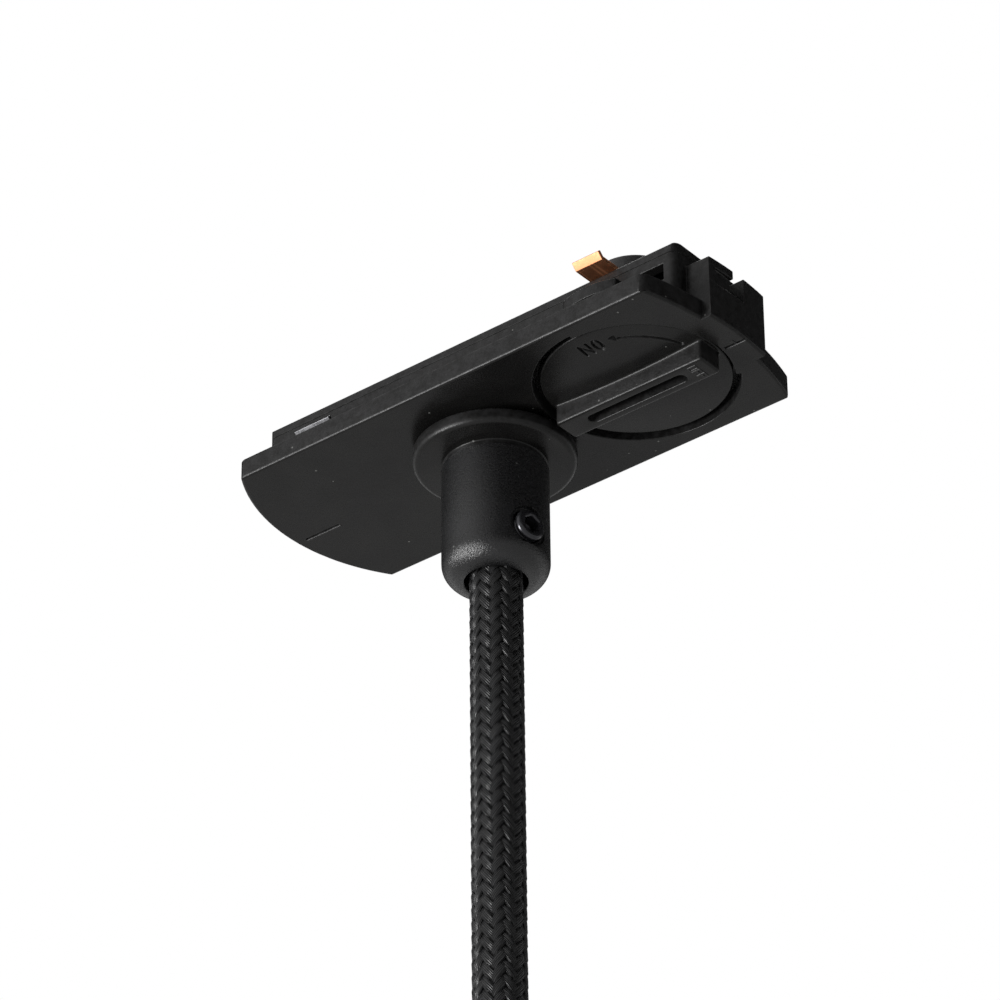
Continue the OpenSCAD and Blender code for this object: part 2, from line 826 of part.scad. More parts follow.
module terminal_screws() {
    tip = core_z + core_d / 2 - core_gap / 2;
    color("#b9bcc0")
        for (p = [[phase_x, -terminal_y], [phase_x, terminal_y], [earth_x, 0]])
            translate([p[0], p[1], 0])
                difference() {
                    union() {
                        translate([0, 0, tip])
                            cylinder(d = terminal_screw_d, h = terminal_top + head_t / 2 - tip, $fn = 36);
                        translate([0, 0, terminal_top])
                            cylinder(d = head_d, h = head_t, $fn = 48);
                    }
                    translate([-head_d, -0.3, terminal_top + head_t / 2])
                        cube([2 * head_d, 0.6, head_t]);
                }
}

module lamp_grip() {
    color("#1b1b1c")
        translate([cord_x, 0, lamp_top])
            rotate([0, 0, screw_turn])
                mirror([0, 0, 1])
                    grip_body();
}

module lamp_screw() {
    color("#2a2a2c")
        translate([cord_x, 0, lamp_screw_z])
            rotate([0, 0, screw_turn])
                grip_grub();
}

module lamp_nipple() {
    color("#b9bcc0")
        translate([cord_x, 0, lamp_end - nipple_out])
            difference() {
                union() {
                    cylinder(d = thread_d, h = nipple_out, $fn = 96);
                    cylinder(d = pitch_d, h = nipple_out + thread_len, $fn = 96);
                }
                translate([0, 0, -1])
                    cylinder(d = bore_d, h = 40, $fn = 72);
            }
}

base();
top_cover();
cover_screws();
knob();
lock_wing();
turret();
live_contact();
neutral_contact();
spindle_washer();
spindle_screw();
outlet();
outlet_ring();
cord_grip();
grip_screw();
cord();
live_core();
neutral_core();
earth_core();
live_strip();
neutral_strip();
earth_spring();
terminals();
terminal_screws();
lamp_grip();
lamp_screw();
lamp_nipple();
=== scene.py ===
# %% [markdown]
# # A track light adapter
#
# The adapter is a flat black moulding with its contacts on top. A round knob locks it in place,
# a flanged outlet carries a cord grip, and a braided cord hangs out of the grip. The packed
# solids are the fixed frame: they give every place and every size. This lesson adds what solids
# leave out, which is the braid, the small edge radii, the engraved signs, the threads and the
# finishes. All shapes are written in millimetres and become metres when a mesh is made.

import bmesh
import bpy
import numpy as np
from mathutils import Matrix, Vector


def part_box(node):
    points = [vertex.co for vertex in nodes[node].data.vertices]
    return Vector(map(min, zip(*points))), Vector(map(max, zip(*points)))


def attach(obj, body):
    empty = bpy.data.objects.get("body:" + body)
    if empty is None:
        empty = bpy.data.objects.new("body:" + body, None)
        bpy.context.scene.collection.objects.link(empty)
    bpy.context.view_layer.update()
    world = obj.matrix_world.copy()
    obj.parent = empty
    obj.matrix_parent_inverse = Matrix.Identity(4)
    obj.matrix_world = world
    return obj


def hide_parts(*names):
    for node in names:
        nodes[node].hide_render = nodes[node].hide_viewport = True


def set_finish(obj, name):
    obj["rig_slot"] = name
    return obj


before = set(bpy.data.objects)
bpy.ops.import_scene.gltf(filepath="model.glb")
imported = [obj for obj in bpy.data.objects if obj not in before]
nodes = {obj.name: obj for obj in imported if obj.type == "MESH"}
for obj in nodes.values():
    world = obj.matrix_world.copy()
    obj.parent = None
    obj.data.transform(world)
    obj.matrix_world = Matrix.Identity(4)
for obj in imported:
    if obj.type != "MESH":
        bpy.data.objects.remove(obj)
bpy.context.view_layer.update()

scene = bpy.context.scene
MM = 0.001


def ends(node):
    """Lowest and highest corner of a solid, in millimetres."""
    return [np.array(corner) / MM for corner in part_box(node)]


# %% [markdown]
# ## Camera
#
# The view is from below with a long lens. Its turn, height, roll and distance were solved from
# the corners of the plate, the flange and the grip, so the camera is set as one matrix whose
# columns are the picture's right, its up and the way back to the lens.

# %% Camera
AZIMUTH, ELEVATION, ROLL = np.radians([38.721, -33.167, -0.576])
AIM = np.array([-1.015, 0.139, -10.4]) * MM
DISTANCE = 0.635056
LENS, SENSOR = 191.55, 36.0

back = np.array([np.sin(AZIMUTH) * np.cos(ELEVATION), -np.cos(AZIMUTH) * np.cos(ELEVATION),
                 np.sin(ELEVATION)])
level = np.array([np.cos(AZIMUTH), np.sin(AZIMUTH), 0.0])
rise = np.cross(back, level)
right = level * np.cos(ROLL) + rise * np.sin(ROLL)
up = rise * np.cos(ROLL) - level * np.sin(ROLL)

camera_data = bpy.data.cameras.new("camera")
camera_data.lens, camera_data.sensor_width, camera_data.clip_start = LENS, SENSOR, 0.01
camera = bpy.data.objects.new("camera", camera_data)
stand = np.eye(4)
stand[:3] = np.column_stack([right, up, back, AIM + back * DISTANCE])
camera.matrix_world = Matrix(stand.tolist())
scene.collection.objects.link(camera)
scene.camera = camera
scene.view_settings.view_transform = "Standard"
print("camera at", np.round(stand[:3, 3], 3).tolist())

# %% [markdown]
# ## Grids of points
#
# Every new piece is a grid of points worked out with numpy: rows by columns, each direction
# either open or closed into a ring. One helper lists the faces of such a grid, another makes a
# mesh object of several grids. Points that fall together are merged, so the poles and seams of
# a form close, and then all faces are turned outwards.

# %% Mesh helpers
def grid_faces(rows, cols, ring_rows, ring_cols):
    """Faces and corner coordinates of a grid.

    A face joins point (i, j) to (i, j+1), (i+1, j+1) and (i+1, j). In a ring direction the
    last line is joined to the first. A corner's u is j and its v is i, each over its count."""
    high, wide = rows - 1 + ring_rows, cols - 1 + ring_cols
    i, j = np.meshgrid(np.arange(high), np.arange(wide), indexing="ij")
    ci = i.reshape(-1, 1) + np.array([0, 0, 1, 1])
    cj = j.reshape(-1, 1) + np.array([0, 1, 1, 0])
    return (ci % rows) * cols + cj % cols, np.stack([cj / wide, ci / high], axis=-1)


def make_piece(name, grids, sharp=38.0):
    """One mesh object from grids, each (points in mm, ring of rows, ring of columns).

    The number of a grid is added to v, so that a pattern differs from grid to grid. Edges
    steeper than the sharp angle, in degrees, stay crisp in the shading."""
    points, faces, corners, first = [], [], [], 0
    for number, (grid, ring_rows, ring_cols) in enumerate(grids):
        rows, cols = grid.shape[:2]
        quad, uv = grid_faces(rows, cols, ring_rows, ring_cols)
        points.append(grid.reshape(-1, 3))
        faces.append(quad + first)
        corners.append(uv + [0.0, number])
        first += rows * cols
    mesh = bpy.data.meshes.new(name)
    mesh.from_pydata((np.concatenate(points) * MM).tolist(), [], np.concatenate(faces).tolist())
    layer = mesh.uv_layers.new(name="UVMap")
    layer.data.foreach_set("uv", np.concatenate(corners).astype(np.float32).ravel())
    work = bmesh.new()
    work.from_mesh(mesh)
    bmesh.ops.remove_doubles(work, verts=work.verts, dist=2e-7)
    bmesh.ops.recalc_face_normals(work, faces=work.faces)
    work.to_mesh(mesh)
    work.free()
    mesh.shade_smooth()
    mesh.set_sharp_from_angle(angle=np.radians(sharp))
    piece = bpy.data.objects.new(name, mesh)
    scene.collection.objects.link(piece)
    print(name, "faces:", len(mesh.polygons))
    return piece


def settle(piece, body, slot, *stands_for):
    """Ties a piece to its body, to its finish and to the solids that it stands for."""
    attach(piece, body)
    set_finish(piece, slot)
    if stands_for:
        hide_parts(*stands_for)
    return piece


# %% [markdown]
# ## The braided cord
#
# The cord wears a textile sleeve. Bundles of fine yarn wind round it both ways, and each bundle
# passes over two of the other direction and under the next two, which gives the columns of
# small chevrons. It could be a plain tube with a printed pattern, but the silhouette and the
# dark gaps between the bundles would be missing, so each bundle is a real flattened tube along
# its own helix.

# %% Braid
cord_low, cord_high = ends("cord")
CORD_X, CORD_R = (cord_low[0] + cord_high[0]) / 2, (cord_high[0] - cord_low[0]) / 2
CORD_TOP, CORD_LOW = cord_high[2], cord_low[2]
STRANDS = 14
STRAND_STEP = 1.75
STRAND_W, STRAND_T, WEAVE = 1.14, 0.46, 0.2
STRAND_ROWS, STRAND_SIDES = 321, 8
COLUMN_AT = np.radians(-53.0)


def strands(direction):
    """All bundles of one winding direction, as points [bundle, row, side, xyz].

    The middle line is a helix: its angle grows by one turn over STRANDS * STRAND_STEP of
    height. Its radius is a middle radius plus WEAVE times a flattened cosine of half the bundle
    count times the angle, so that each direction lies outside in its own columns. The cross
    section is an oval whose width lies in the sleeve's surface, at a right angle to the helix.
    At both ends the oval shrinks to a point."""
    height = np.linspace(CORD_TOP, CORD_LOW, STRAND_ROWS)[None, :, None]
    number = np.arange(STRANDS)[:, None, None]
    side = 2 * np.pi * np.arange(STRAND_SIDES)[None, None, :] / STRAND_SIDES
    lead = STRANDS * STRAND_STEP
    angle = direction * 2 * np.pi * height / lead + 2 * np.pi * number / STRANDS
    wave = np.tanh(1.7 * np.cos(STRANDS / 2 * (angle - COLUMN_AT))) / np.tanh(1.7)
    middle = CORD_R - WEAVE - STRAND_T / 2
    radius = middle + direction * WEAVE * wave
    closed = np.ones(STRAND_ROWS)
    closed[[0, -1]] = 0.0
    closed = closed[None, :, None]
    across = STRAND_W / 2 * np.cos(side) * closed
    out = STRAND_T / 2 * np.sign(np.sin(side)) * np.abs(np.sin(side)) ** 0.8 * closed
    slope = direction * 2 * np.pi * middle / lead
    length = np.sqrt(1 + slope * slope)
    turned = angle + across / length / radius
    far = radius + out
    z = height - across * slope / length
    return np.stack([CORD_X + far * np.cos(turned), far * np.sin(turned), z + 0 * turned], axis=-1)


def round_core(radius, top, low, count=32):
    """A plain closed round bar on the cord's line: radius 0, full, full and 0 along its height."""
    turn = 2 * np.pi * np.arange(count)[None, :] / count
    radii = radius * np.array([0.0, 1.0, 1.0, 0.0])[:, None]
    heights = np.array([top, top, low, low])[:, None] + 0 * turn
    return np.stack([CORD_X + radii * np.cos(turn), radii * np.sin(turn), heights], axis=-1)


bundles = [(grid, False, True) for way in (1, -1) for grid in strands(way)]
cord = make_piece("cord_braid", bundles + [(round_core(CORD_R - 0.68, CORD_TOP, CORD_LOW), False, True)])
settle(cord, "adapter", "braid", "cord")
print("cord length in mm:", round(CORD_TOP - CORD_LOW, 2))

# %% [markdown]
# ## Turned parts
#
# The outlet, the grips, the screws and the nipple are all turned or moulded round. Their
# section is a closed outline of radius and height whose corners get a small arc each, carried
# round an axis. The arc is what catches the light on a real edge, so no corner is left sharp.

# %% Turned sections
def softened(outline, radii, steps=5):
    """A closed outline with each corner replaced by an arc of its own radius.

    At a corner with half angle h the arc starts radius / tan(h) along both sides, and its
    centre lies radius / sin(h) along the bisector; the arc turns evenly between the two ends."""
    outline = np.asarray(outline, float)
    made = []
    for here, before, after, radius in zip(outline, np.roll(outline, 1, 0),
                                           np.roll(outline, -1, 0), radii):
        one = (before - here) / np.linalg.norm(before - here)
        two = (after - here) / np.linalg.norm(after - here)
        half = np.arccos(np.clip(one @ two, -1, 1)) / 2
        if radius <= 0 or half > 1.55:
            made.append(here[None])
            continue
        middle = here + (one + two) / np.linalg.norm(one + two) * radius / np.sin(half)
        start, stop = here + one * radius / np.tan(half), here + two * radius / np.tan(half)
        share = np.linspace(0, 1, steps)[:, None]
        spoke = np.pi - 2 * half
        arc = (np.sin((1 - share) * spoke) * (start - middle)
               + np.sin(share * spoke) * (stop - middle)) / np.sin(spoke)
        made.append(middle + arc)
    return np.concatenate(made)


def turned(section, count=144, centre=(CORD_X, 0.0)):
    """A section of (radius, height) carried round an upright axis: radius times the cosine and
    the sine of the angle, and its height."""
    angle = 2 * np.pi * np.arange(count)[:, None] / count
    radius, height = section[None, :, 0], section[None, :, 1]
    return np.stack([centre[0] + radius * np.cos(angle), centre[1] + radius * np.sin(angle),
                     height + 0 * angle], axis=-1)


# %% Outlet with its flange
BORE_R, SPIGOT_R, RING_SEAT_R, PITCH_R = 3.6, 4.7, 4.3, 4.675
COLLAR_R, NECK_R, FLANGE_GAP, FLANGE_T = 7.5, 6.2, 1.0, 1.9
PLATE_LOW = ends("base")[0][2]
(outlet_left, _, THREAD_LOW), (outlet_right, _, SPIGOT_TOP) = ends("outlet")
FLANGE_R = (outlet_right - outlet_left) / 2
FLANGE_TOP, FLANGE_LOW = PLATE_LOW - FLANGE_GAP, PLATE_LOW - FLANGE_GAP - FLANGE_T
GRIP_END, GRIP_TOP = ends("cord_grip")[0][2], ends("cord_grip")[1][2]
THREAD_LEN = GRIP_TOP - THREAD_LOW
outlet_section = softened(
    [(BORE_R, SPIGOT_TOP), (SPIGOT_R, SPIGOT_TOP), (SPIGOT_R, 2.0), (RING_SEAT_R, 2.0),
     (RING_SEAT_R, 1.2), (SPIGOT_R, 1.2), (SPIGOT_R, PLATE_LOW), (COLLAR_R, PLATE_LOW),
     (COLLAR_R, FLANGE_TOP), (FLANGE_R, FLANGE_TOP), (FLANGE_R, FLANGE_LOW), (NECK_R, FLANGE_LOW),
     (NECK_R, GRIP_TOP), (PITCH_R, GRIP_TOP), (PITCH_R, THREAD_LOW), (BORE_R, THREAD_LOW)],
    [0.2, 0.2, 0.05, 0.05, 0.05, 0.05, 0.0, 0.1, 0.15, 0.25, 0.75, 0.2, 0.1, 0.1, 0.2, 0.2], steps=7)
outlet = make_piece("outlet_flange", [(turned(outlet_section, 200), True, True)])
settle(outlet, "adapter", "black_moulding", "outlet")

# %% [markdown]
# ## Cord grips
#
# A grip is a small pot with a rounded end that clamps the cord with a grub screw. Its wall is a
# turned section too, but the screw sits in a round sinking. The grid is therefore drawn closer
# round the screw, and every point inside the sinking is pushed back along the screw's axis to
# the floor of the sinking, with a narrow soft step at its rim.

# %% Grip surface
GRIP_R, GRIP_ROUND, GRIP_HOLE_R = 6.5, 2.6, 3.775
GRIP_H = GRIP_TOP - GRIP_END
SCREW_TURN = np.radians(-12.0)
SCREW_Z, LAMP_SCREW_Z = [(ends(node)[0][2] + ends(node)[1][2]) / 2 for node in ("grip_screw", "lamp_screw")]
SCREW_UP, SINK_R, SINK_FLOOR = SCREW_Z - GRIP_END, 2.5, 5.9
HOLE_R, HOLE_FLOOR = 2.07, 4.4
MOUTH_R = 0.25
SEAM_TURN, SEAM_H, SEAM_W = np.radians(-21.0), 0.012, 0.012


def eased(low, high, x):
    """A smooth step: 0 below low, 1 above high, and 3t^2 - 2t^3 between them."""
    t = np.clip((x - low) / (high - low), 0, 1)
    return t * t * (3 - 2 * t)


def grip_grid(top, sign):
    """A grip whose threaded end lies at height top and whose rounded end lies sign * GRIP_H away.

    Rows are angles, closest together round the screw; columns run along the closed section.
    Inside the sinking a point keeps its place across the screw's axis, and its place along the
    axis is eased from the wall to the floor. The mould's seam is a bell curve over the angle."""
    drop = GRIP_H
    wall = np.concatenate([np.linspace(0.2, 7.4, 8), np.linspace(7.5, drop - GRIP_ROUND, 92)])
    bend = np.linspace(0, np.pi / 2, 14)
    outside = np.concatenate([
        np.array([[GRIP_R, 0.0]]),
        np.column_stack([np.full(len(wall), GRIP_R), wall]),
        np.column_stack([GRIP_R - GRIP_ROUND + GRIP_ROUND * np.cos(bend),
                         drop - GRIP_ROUND + GRIP_ROUND * np.sin(bend)])])
    mouth = np.column_stack([GRIP_HOLE_R + MOUTH_R - MOUTH_R * np.sin(bend[::3]),
                             drop - MOUTH_R + MOUTH_R * np.cos(bend[::3])])
    inside = np.array([[GRIP_HOLE_R, THREAD_LEN], [PITCH_R + 0.05, THREAD_LEN],
                       [PITCH_R + 0.05, 0.15], [PITCH_R + 0.2, 0.0]])
    section = np.concatenate([outside, mouth, inside])
    close = np.linspace(-0.5, 0.5, 120)
    wide = np.linspace(0.5, 2 * np.pi - 0.5, 92)[1:-1]
    angle = np.concatenate([close, wide])[:, None]
    radius, depth = section[None, :, 0], section[None, :, 1]
    ahead, aside = radius * np.cos(angle), radius * np.sin(angle)
    rise_off = depth - (drop - SCREW_UP) + 0 * angle
    rim = np.hypot(aside, rise_off)
    on_wall = (radius > GRIP_R - 0.6) & (ahead > 0)
    sunk = np.where(on_wall, eased(SINK_R + 0.1, SINK_R - 0.02, rim), 0.0)
    bored = np.where(on_wall, eased(HOLE_R + 0.05, HOLE_R - 0.05, rim), 0.0)
    ahead = ahead + sunk * (SINK_FLOOR - ahead)
    ahead = ahead + bored * (HOLE_FLOOR - ahead)
    seam = SEAM_H * np.exp(-((angle - SEAM_TURN) / SEAM_W) ** 2)
    ahead = ahead + seam * np.cos(angle) * (sunk < 0.01) * on_wall
    cos, sin = np.cos(SCREW_TURN), np.sin(SCREW_TURN)
    return np.stack([CORD_X + ahead * cos - aside * sin, ahead * sin + aside * cos,
                     top + sign * depth + 0 * angle], axis=-1)


LAMP_END = ends("lamp_grip")[0][2]
grip = make_piece("grip_pot", [(grip_grid(GRIP_TOP, -1.0), True, True)])
settle(grip, "adapter", "grip_black", "cord_grip")
lamp_grip = make_piece("lamp_grip_pot", [(grip_grid(LAMP_END, 1.0), True, True)])
settle(lamp_grip, "adapter", "grip_black", "lamp_grip")

# %% [markdown]
# ## Grub screws
#
# The clamp is a socket grub screw that stands a little proud of its sinking. Along its axis the
# outline changes from the thread's circle to the hexagon of the socket, so each row of the grid
# is a ring whose radius depends on the angle: a constant for the round rows and the distance to
# a hexagon's side for the socket.

# %% Grub screws
SCREW_R, SOCKET_HALF = 2.0, 1.0
SCREW_TIP, SCREW_END = CORD_R - 0.15, GRIP_R + 0.4


def grub_grid(height):
    """A grub screw along the screw axis at a height, rows along its axis and rings round it.

    Thread rows: the radius drops by a rounded tooth, 0.1 times 1 + cosine of the turn less the
    place along the axis over the pitch. End rows: an arc to the face, a chamfer, and then the
    hexagon, whose radius is half its width over the cosine of the angle from a side's middle."""
    count = 72
    turn = 2 * np.pi * np.arange(count)[None, :] / count
    along = np.linspace(SCREW_TIP + 0.5, SCREW_END - 0.55, 34)[:, None]
    tooth = 0.1 * (1 + np.cos(2 * np.pi * along / 0.7 - turn)) * eased(0, 0.4, SCREW_END - 0.55 - along)
    shank = SCREW_R - tooth
    bend = np.linspace(0, np.pi / 2, 7)[1:, None]
    crown = SCREW_R - 0.5 + 0.5 * np.cos(bend) + 0 * turn
    crown_at = SCREW_END - 0.5 + 0.5 * np.sin(bend)
    six = SOCKET_HALF / np.cos((turn + np.pi / 6) % (np.pi / 3) - np.pi / 6)
    lip = np.full_like(turn, 1.27)
    tip = np.array([[0.0], [1.0], [1.45]]) + 0 * turn
    radii = np.concatenate([tip, shank, crown, lip, six, six * 0.98, six * 0.96, six * 0.5, 0 * six])
    places = np.concatenate([np.array([[SCREW_TIP], [SCREW_TIP], [SCREW_TIP + 0.06]]), along, crown_at,
                             np.array([[SCREW_END], [SCREW_END - 0.14], [SCREW_END - 0.3],
                                       [SCREW_END - 1.6], [SCREW_END - 1.78], [SCREW_END - 1.95]])])
    aside, rise_off = radii * np.cos(turn), radii * np.sin(turn)
    cos, sin = np.cos(SCREW_TURN), np.sin(SCREW_TURN)
    return np.stack([CORD_X + places * cos - aside * sin, places * sin + aside * cos,
                     height + rise_off], axis=-1)


screw = make_piece("grip_grub", [(grub_grid(SCREW_Z), False, True)])
settle(screw, "adapter", "black_screw", "grip_screw")
lamp_screw = make_piece("lamp_grub", [(grub_grid(LAMP_SCREW_Z), False, True)])
settle(lamp_screw, "adapter", "black_screw", "lamp_screw")

# %% [markdown]
# ## Threaded nipple
#
# The cord's lower end leaves through a short threaded nipple. Its free length carries a fine
# thread, one millimetre of height for each turn.

# %% Nipple
NIPPLE_R, NIPPLE_END, NIPPLE_PITCH = 5.0, ends("lamp_nipple")[0][2], 1.0


def nipple_grid():
    """Thread: radius 5 less 0.28 times 1 + a flattened cosine of the turn plus height over pitch.

    Near the tip the thread fades into a chamfer, and the bore closes the section inside."""
    turn = 2 * np.pi * np.arange(120)[None, :] / 120
    height = np.linspace(LAMP_END, NIPPLE_END + 0.5, 118)[:, None]
    groove = np.tanh(1.5 * np.cos(turn + 2 * np.pi * height / NIPPLE_PITCH)) / np.tanh(1.5)
    threads = NIPPLE_R - 0.28 * (1 + groove)
    seat_top = LAMP_END + THREAD_LEN
    seat = np.array([[BORE_R], [PITCH_R - 0.15], [PITCH_R], [PITCH_R]]) + 0 * turn
    seat_at = np.array([[seat_top], [seat_top], [seat_top - 0.15], [LAMP_END]])
    tip = np.array([[4.36], [4.2], [BORE_R + 0.2], [BORE_R]]) + 0 * turn
    tip_at = np.array([[NIPPLE_END + 0.3], [NIPPLE_END], [NIPPLE_END], [NIPPLE_END + 0.2]])
    radii = np.concatenate([seat, threads, tip])
    places = np.concatenate([seat_at, height, tip_at]) + 0 * turn
    return np.stack([CORD_X + radii * np.cos(turn), radii * np.sin(turn), places], axis=-1)


nipple = make_piece("lamp_thread", [(nipple_grid(), True, True)], sharp=60.0)
settle(nipple, "adapter", "plated_steel", "lamp_nipple")

# %% [markdown]
# ## The locking knob
#
# The knob's face is a very flat dome with the word ON and a turning arrow sunk into it. The
# signs could be cut with booleans, but a height over the disc is simpler and cleaner: the grid
# is a square that is bent into a disc, drawn closest where the signs are, and each point is
# pushed in by an amount that depends on its distance to the strokes.

# %% Signs of the knob
(knob_left, _, RIB_Z), (knob_right, _, DRIVE_TOP) = ends("knob")
KNOB_X, DISC_R = (knob_left + knob_right) / 2, (knob_right - knob_left) / 2
RIM_Z, DOME, DISC_BACK = PLATE_LOW + 0.35, 0.5, -0.8
DOME_R = (DISC_R ** 2 + DOME ** 2) / (2 * DOME)
ARROW_R = 9.05
SIGN_DEPTH, LETTER_HALF, ARC_HALF, SIGN_SLOPE = 0.34, 0.14, 0.18, 0.06


def stroke_distance(x, y, line):
    """Distance from points to a polyline: for each piece a-b the nearest point is a + t (b - a)
    with t, the projection on the piece, kept between 0 and 1; the least of them counts."""
    best = np.full(x.shape, np.inf)
    for (ax, ay), (bx, by) in zip(line[:-1], line[1:]):
        dx, dy = bx - ax, by - ay
        t = np.clip(((x - ax) * dx + (y - ay) * dy) / (dx * dx + dy * dy), 0, 1)
        best = np.minimum(best, np.hypot(x - ax - t * dx, y - ay - t * dy))
    return best


def triangle_distance(x, y, corners):
    """How far points lie outside a triangle, negative inside: the largest of the three signed
    distances to its sides, for corners that run anticlockwise."""
    corners = np.asarray(corners, float)
    best = np.full(x.shape, -np.inf)
    for (ax, ay), (bx, by) in zip(corners, np.roll(corners, -1, 0)):
        best = np.maximum(best, ((x - ax) * (by - ay) - (y - ay) * (bx - ax)) / np.hypot(bx - ax, by - ay))
    return best


ring = np.linspace(0, 2 * np.pi, 33)
letter_o = np.column_stack([1.0 + 0.44 * np.cos(ring), -8.75 + 0.95 * np.sin(ring)])
letter_n = [(-0.12, -9.7), (-0.12, -7.8), (-1.2, -9.7), (-1.2, -7.8)]
sweep = np.radians(np.linspace(-66.0, -17.0, 30))
arrow_arc = np.column_stack([ARROW_R * np.cos(sweep), ARROW_R * np.sin(sweep)])
arrow_head = [(2.55, -8.9), (3.6, -9.15), (3.25, -8.0)]
arrow_tail = [(8.3, -3.1), (9.0, -2.9), (8.8, -2.4)]
print("sign strokes:", len(letter_o) + len(letter_n) + len(arrow_arc))

# %% Knob face
def face_z(x, y):
    """Height of the knob's face: a sphere cap, plus the signs' depth towards the plate in a stroke."""
    cap = RIM_Z - DOME + DOME_R - np.sqrt(DOME_R ** 2 - x * x - y * y)
    near = np.minimum(stroke_distance(x, y, letter_o), stroke_distance(x, y, letter_n)) - LETTER_HALF
    near = np.minimum(near, stroke_distance(x, y, arrow_arc) - ARC_HALF)
    near = np.minimum(near, triangle_distance(x, y, arrow_head))
    near = np.minimum(near, triangle_distance(x, y, arrow_tail))
    return cap + SIGN_DEPTH * eased(SIGN_SLOPE, -SIGN_SLOPE, near)


def knob_face():
    """A square bent into a disc: x is u times the root of 1 - v^2 / 2, and y the same turned
    round. The edge of the square goes on as rings: an arc, the rim's wall and the flat back."""
    edge = 0.22
    u = np.interp(np.linspace(0, 1, 240), [0, 0.08, 0.9, 1], [-1, -0.32, 0.96, 1])[None, :]
    v = np.interp(np.linspace(0, 1, 190), [0, 0.05, 0.78, 1], [-1, -0.95, -0.15, 1])[:, None]
    x = (DISC_R - edge) * u * np.sqrt(1 - v * v / 2)
    y = (DISC_R - edge) * v * np.sqrt(1 - u * u / 2)
    face = np.stack([KNOB_X + x, y, face_z(x, y)], axis=-1)
    border = np.concatenate([face[0, :-1], face[:-1, -1], face[-1, :0:-1], face[:0:-1, 0]])
    turn = np.arctan2(border[:, 1], border[:, 0] - KNOB_X)[None, :]
    bend = np.linspace(0, np.pi / 2, 6)[1:, None]
    radii = np.concatenate([DISC_R - edge + edge * np.sin(bend), [[DISC_R], [DISC_R], [0.0]]])
    rise_by = np.concatenate([edge - edge * np.cos(bend), [[0.6], [0.0], [0.0]]])
    heights = border[None, :, 2] + rise_by
    heights[-2:] = DISC_BACK
    rim = np.stack([KNOB_X + radii * np.cos(turn), radii * np.sin(turn), heights], axis=-1)
    return [(face, False, False), (np.concatenate([border[None], rim]), False, True)]


# %% [markdown]
# The rib across the knob is what the fingers turn. It is a stack of rounded rectangles that
# share one point order: they leave the domed face in a small hollow fillet, climb the wall, bend
# over its edge, cross the free face to the slot, and sink into the slot, whose outline is the
# same rectangle with fully round ends.

# %% Rib, spindle and drive
RIB_LEN, RIB_W, RIB_EDGE, RIB_FOOT = 21.7, 3.75, 0.34, 0.3
SLOT_LEN, SLOT_W, SLOT_DEEP = 14.4, 1.6, 1.8
SPINDLE_R, DRIVE_W, WING_Z = 4.5, 5.6, 4.2


def rounded_loop(length, width, radius, per_corner=9, per_side=7):
    """Points round a rectangle with round corners, always in the same order and number.

    Each corner is a quarter circle; the straight side to the next corner is split evenly."""
    loop = []
    quarter = np.linspace(0, np.pi / 2, per_corner)
    for k, (sx, sy) in enumerate([(1, 1), (-1, 1), (-1, -1), (1, -1)]):
        cx, cy = sx * (length / 2 - radius), sy * (width / 2 - radius)
        turn = quarter + k * np.pi / 2
        loop.append(np.column_stack([cx + radius * np.cos(turn), cy + radius * np.sin(turn)]))
    sides = []
    for corner, following in zip(loop, loop[1:] + loop[:1]):
        share = np.linspace(0, 1, per_side + 2)[1:-1, None]
        sides += [corner, corner[-1] * (1 - share) + following[0] * share]
    return np.concatenate(sides)


def stacked(rows, centre_x):
    """Rows of (length, width, corner radius, height) as one grid of rounded loops."""
    made = [np.column_stack([rounded_loop(a, b, r), np.full(64, z)]) for a, b, r, z in rows]
    return np.stack(made) + [centre_x, 0.0, 0.0]


def rib_foot():
    """The rib's lowest loops: closed inside the disc, then a hollow quarter circle up from the face.

    At the angle b a loop is wider than the rib by the foot's radius times 1 - sin b, and stands
    off the domed face by the radius times 1 - cos b."""
    inner = stacked([(RIB_LEN - RIB_W, 0.0, 0.0, -1.3), (RIB_LEN, RIB_W, 0.4, -1.3)], 0.0)
    rows = []
    for b in np.linspace(0, np.pi / 2, 7):
        wide = RIB_FOOT * (1 - np.sin(b))
        loop = rounded_loop(RIB_LEN + 0.4 * wide, RIB_W + 2 * wide, 0.4)
        rows.append(np.column_stack([loop, face_z(*loop.T) - RIB_FOOT * (1 - np.cos(b))]))
    return np.concatenate([inner, np.stack(rows)]) + [KNOB_X, 0.0, 0.0]


def rib_rows():
    """Sizes of the rib's loops: wall, edge arc, slot mouth, slot wall and slot floor."""
    bend = np.linspace(0, np.pi / 2, 6)
    inset = RIB_EDGE * (1 - np.cos(bend))
    wall = [(RIB_LEN, RIB_W, 0.4, -3.3)]
    edge = [(RIB_LEN - 2 * d, RIB_W - 2 * d, 0.4 - 0.8 * d, RIB_Z + RIB_EDGE * (1 - np.sin(b)))
            for d, b in zip(inset, bend)]
    lip = 0.14
    mouth = [(SLOT_LEN + 2 * lip * (1 - np.sin(b)), SLOT_W + 2 * lip * (1 - np.sin(b)),
              SLOT_W / 2 + lip * (1 - np.sin(b)) - 0.005, RIB_Z + lip * (1 - np.cos(b))) for b in bend]
    floor = RIB_Z + SLOT_DEEP
    slot = [(SLOT_LEN, SLOT_W, SLOT_W / 2 - 0.005, floor - 0.15),
            (SLOT_LEN - 0.1, SLOT_W - 0.1, SLOT_W / 2 - 0.055, floor),
            (SLOT_LEN - SLOT_W, 0.0, 0.0, floor)]
    return wall + edge + mouth + slot


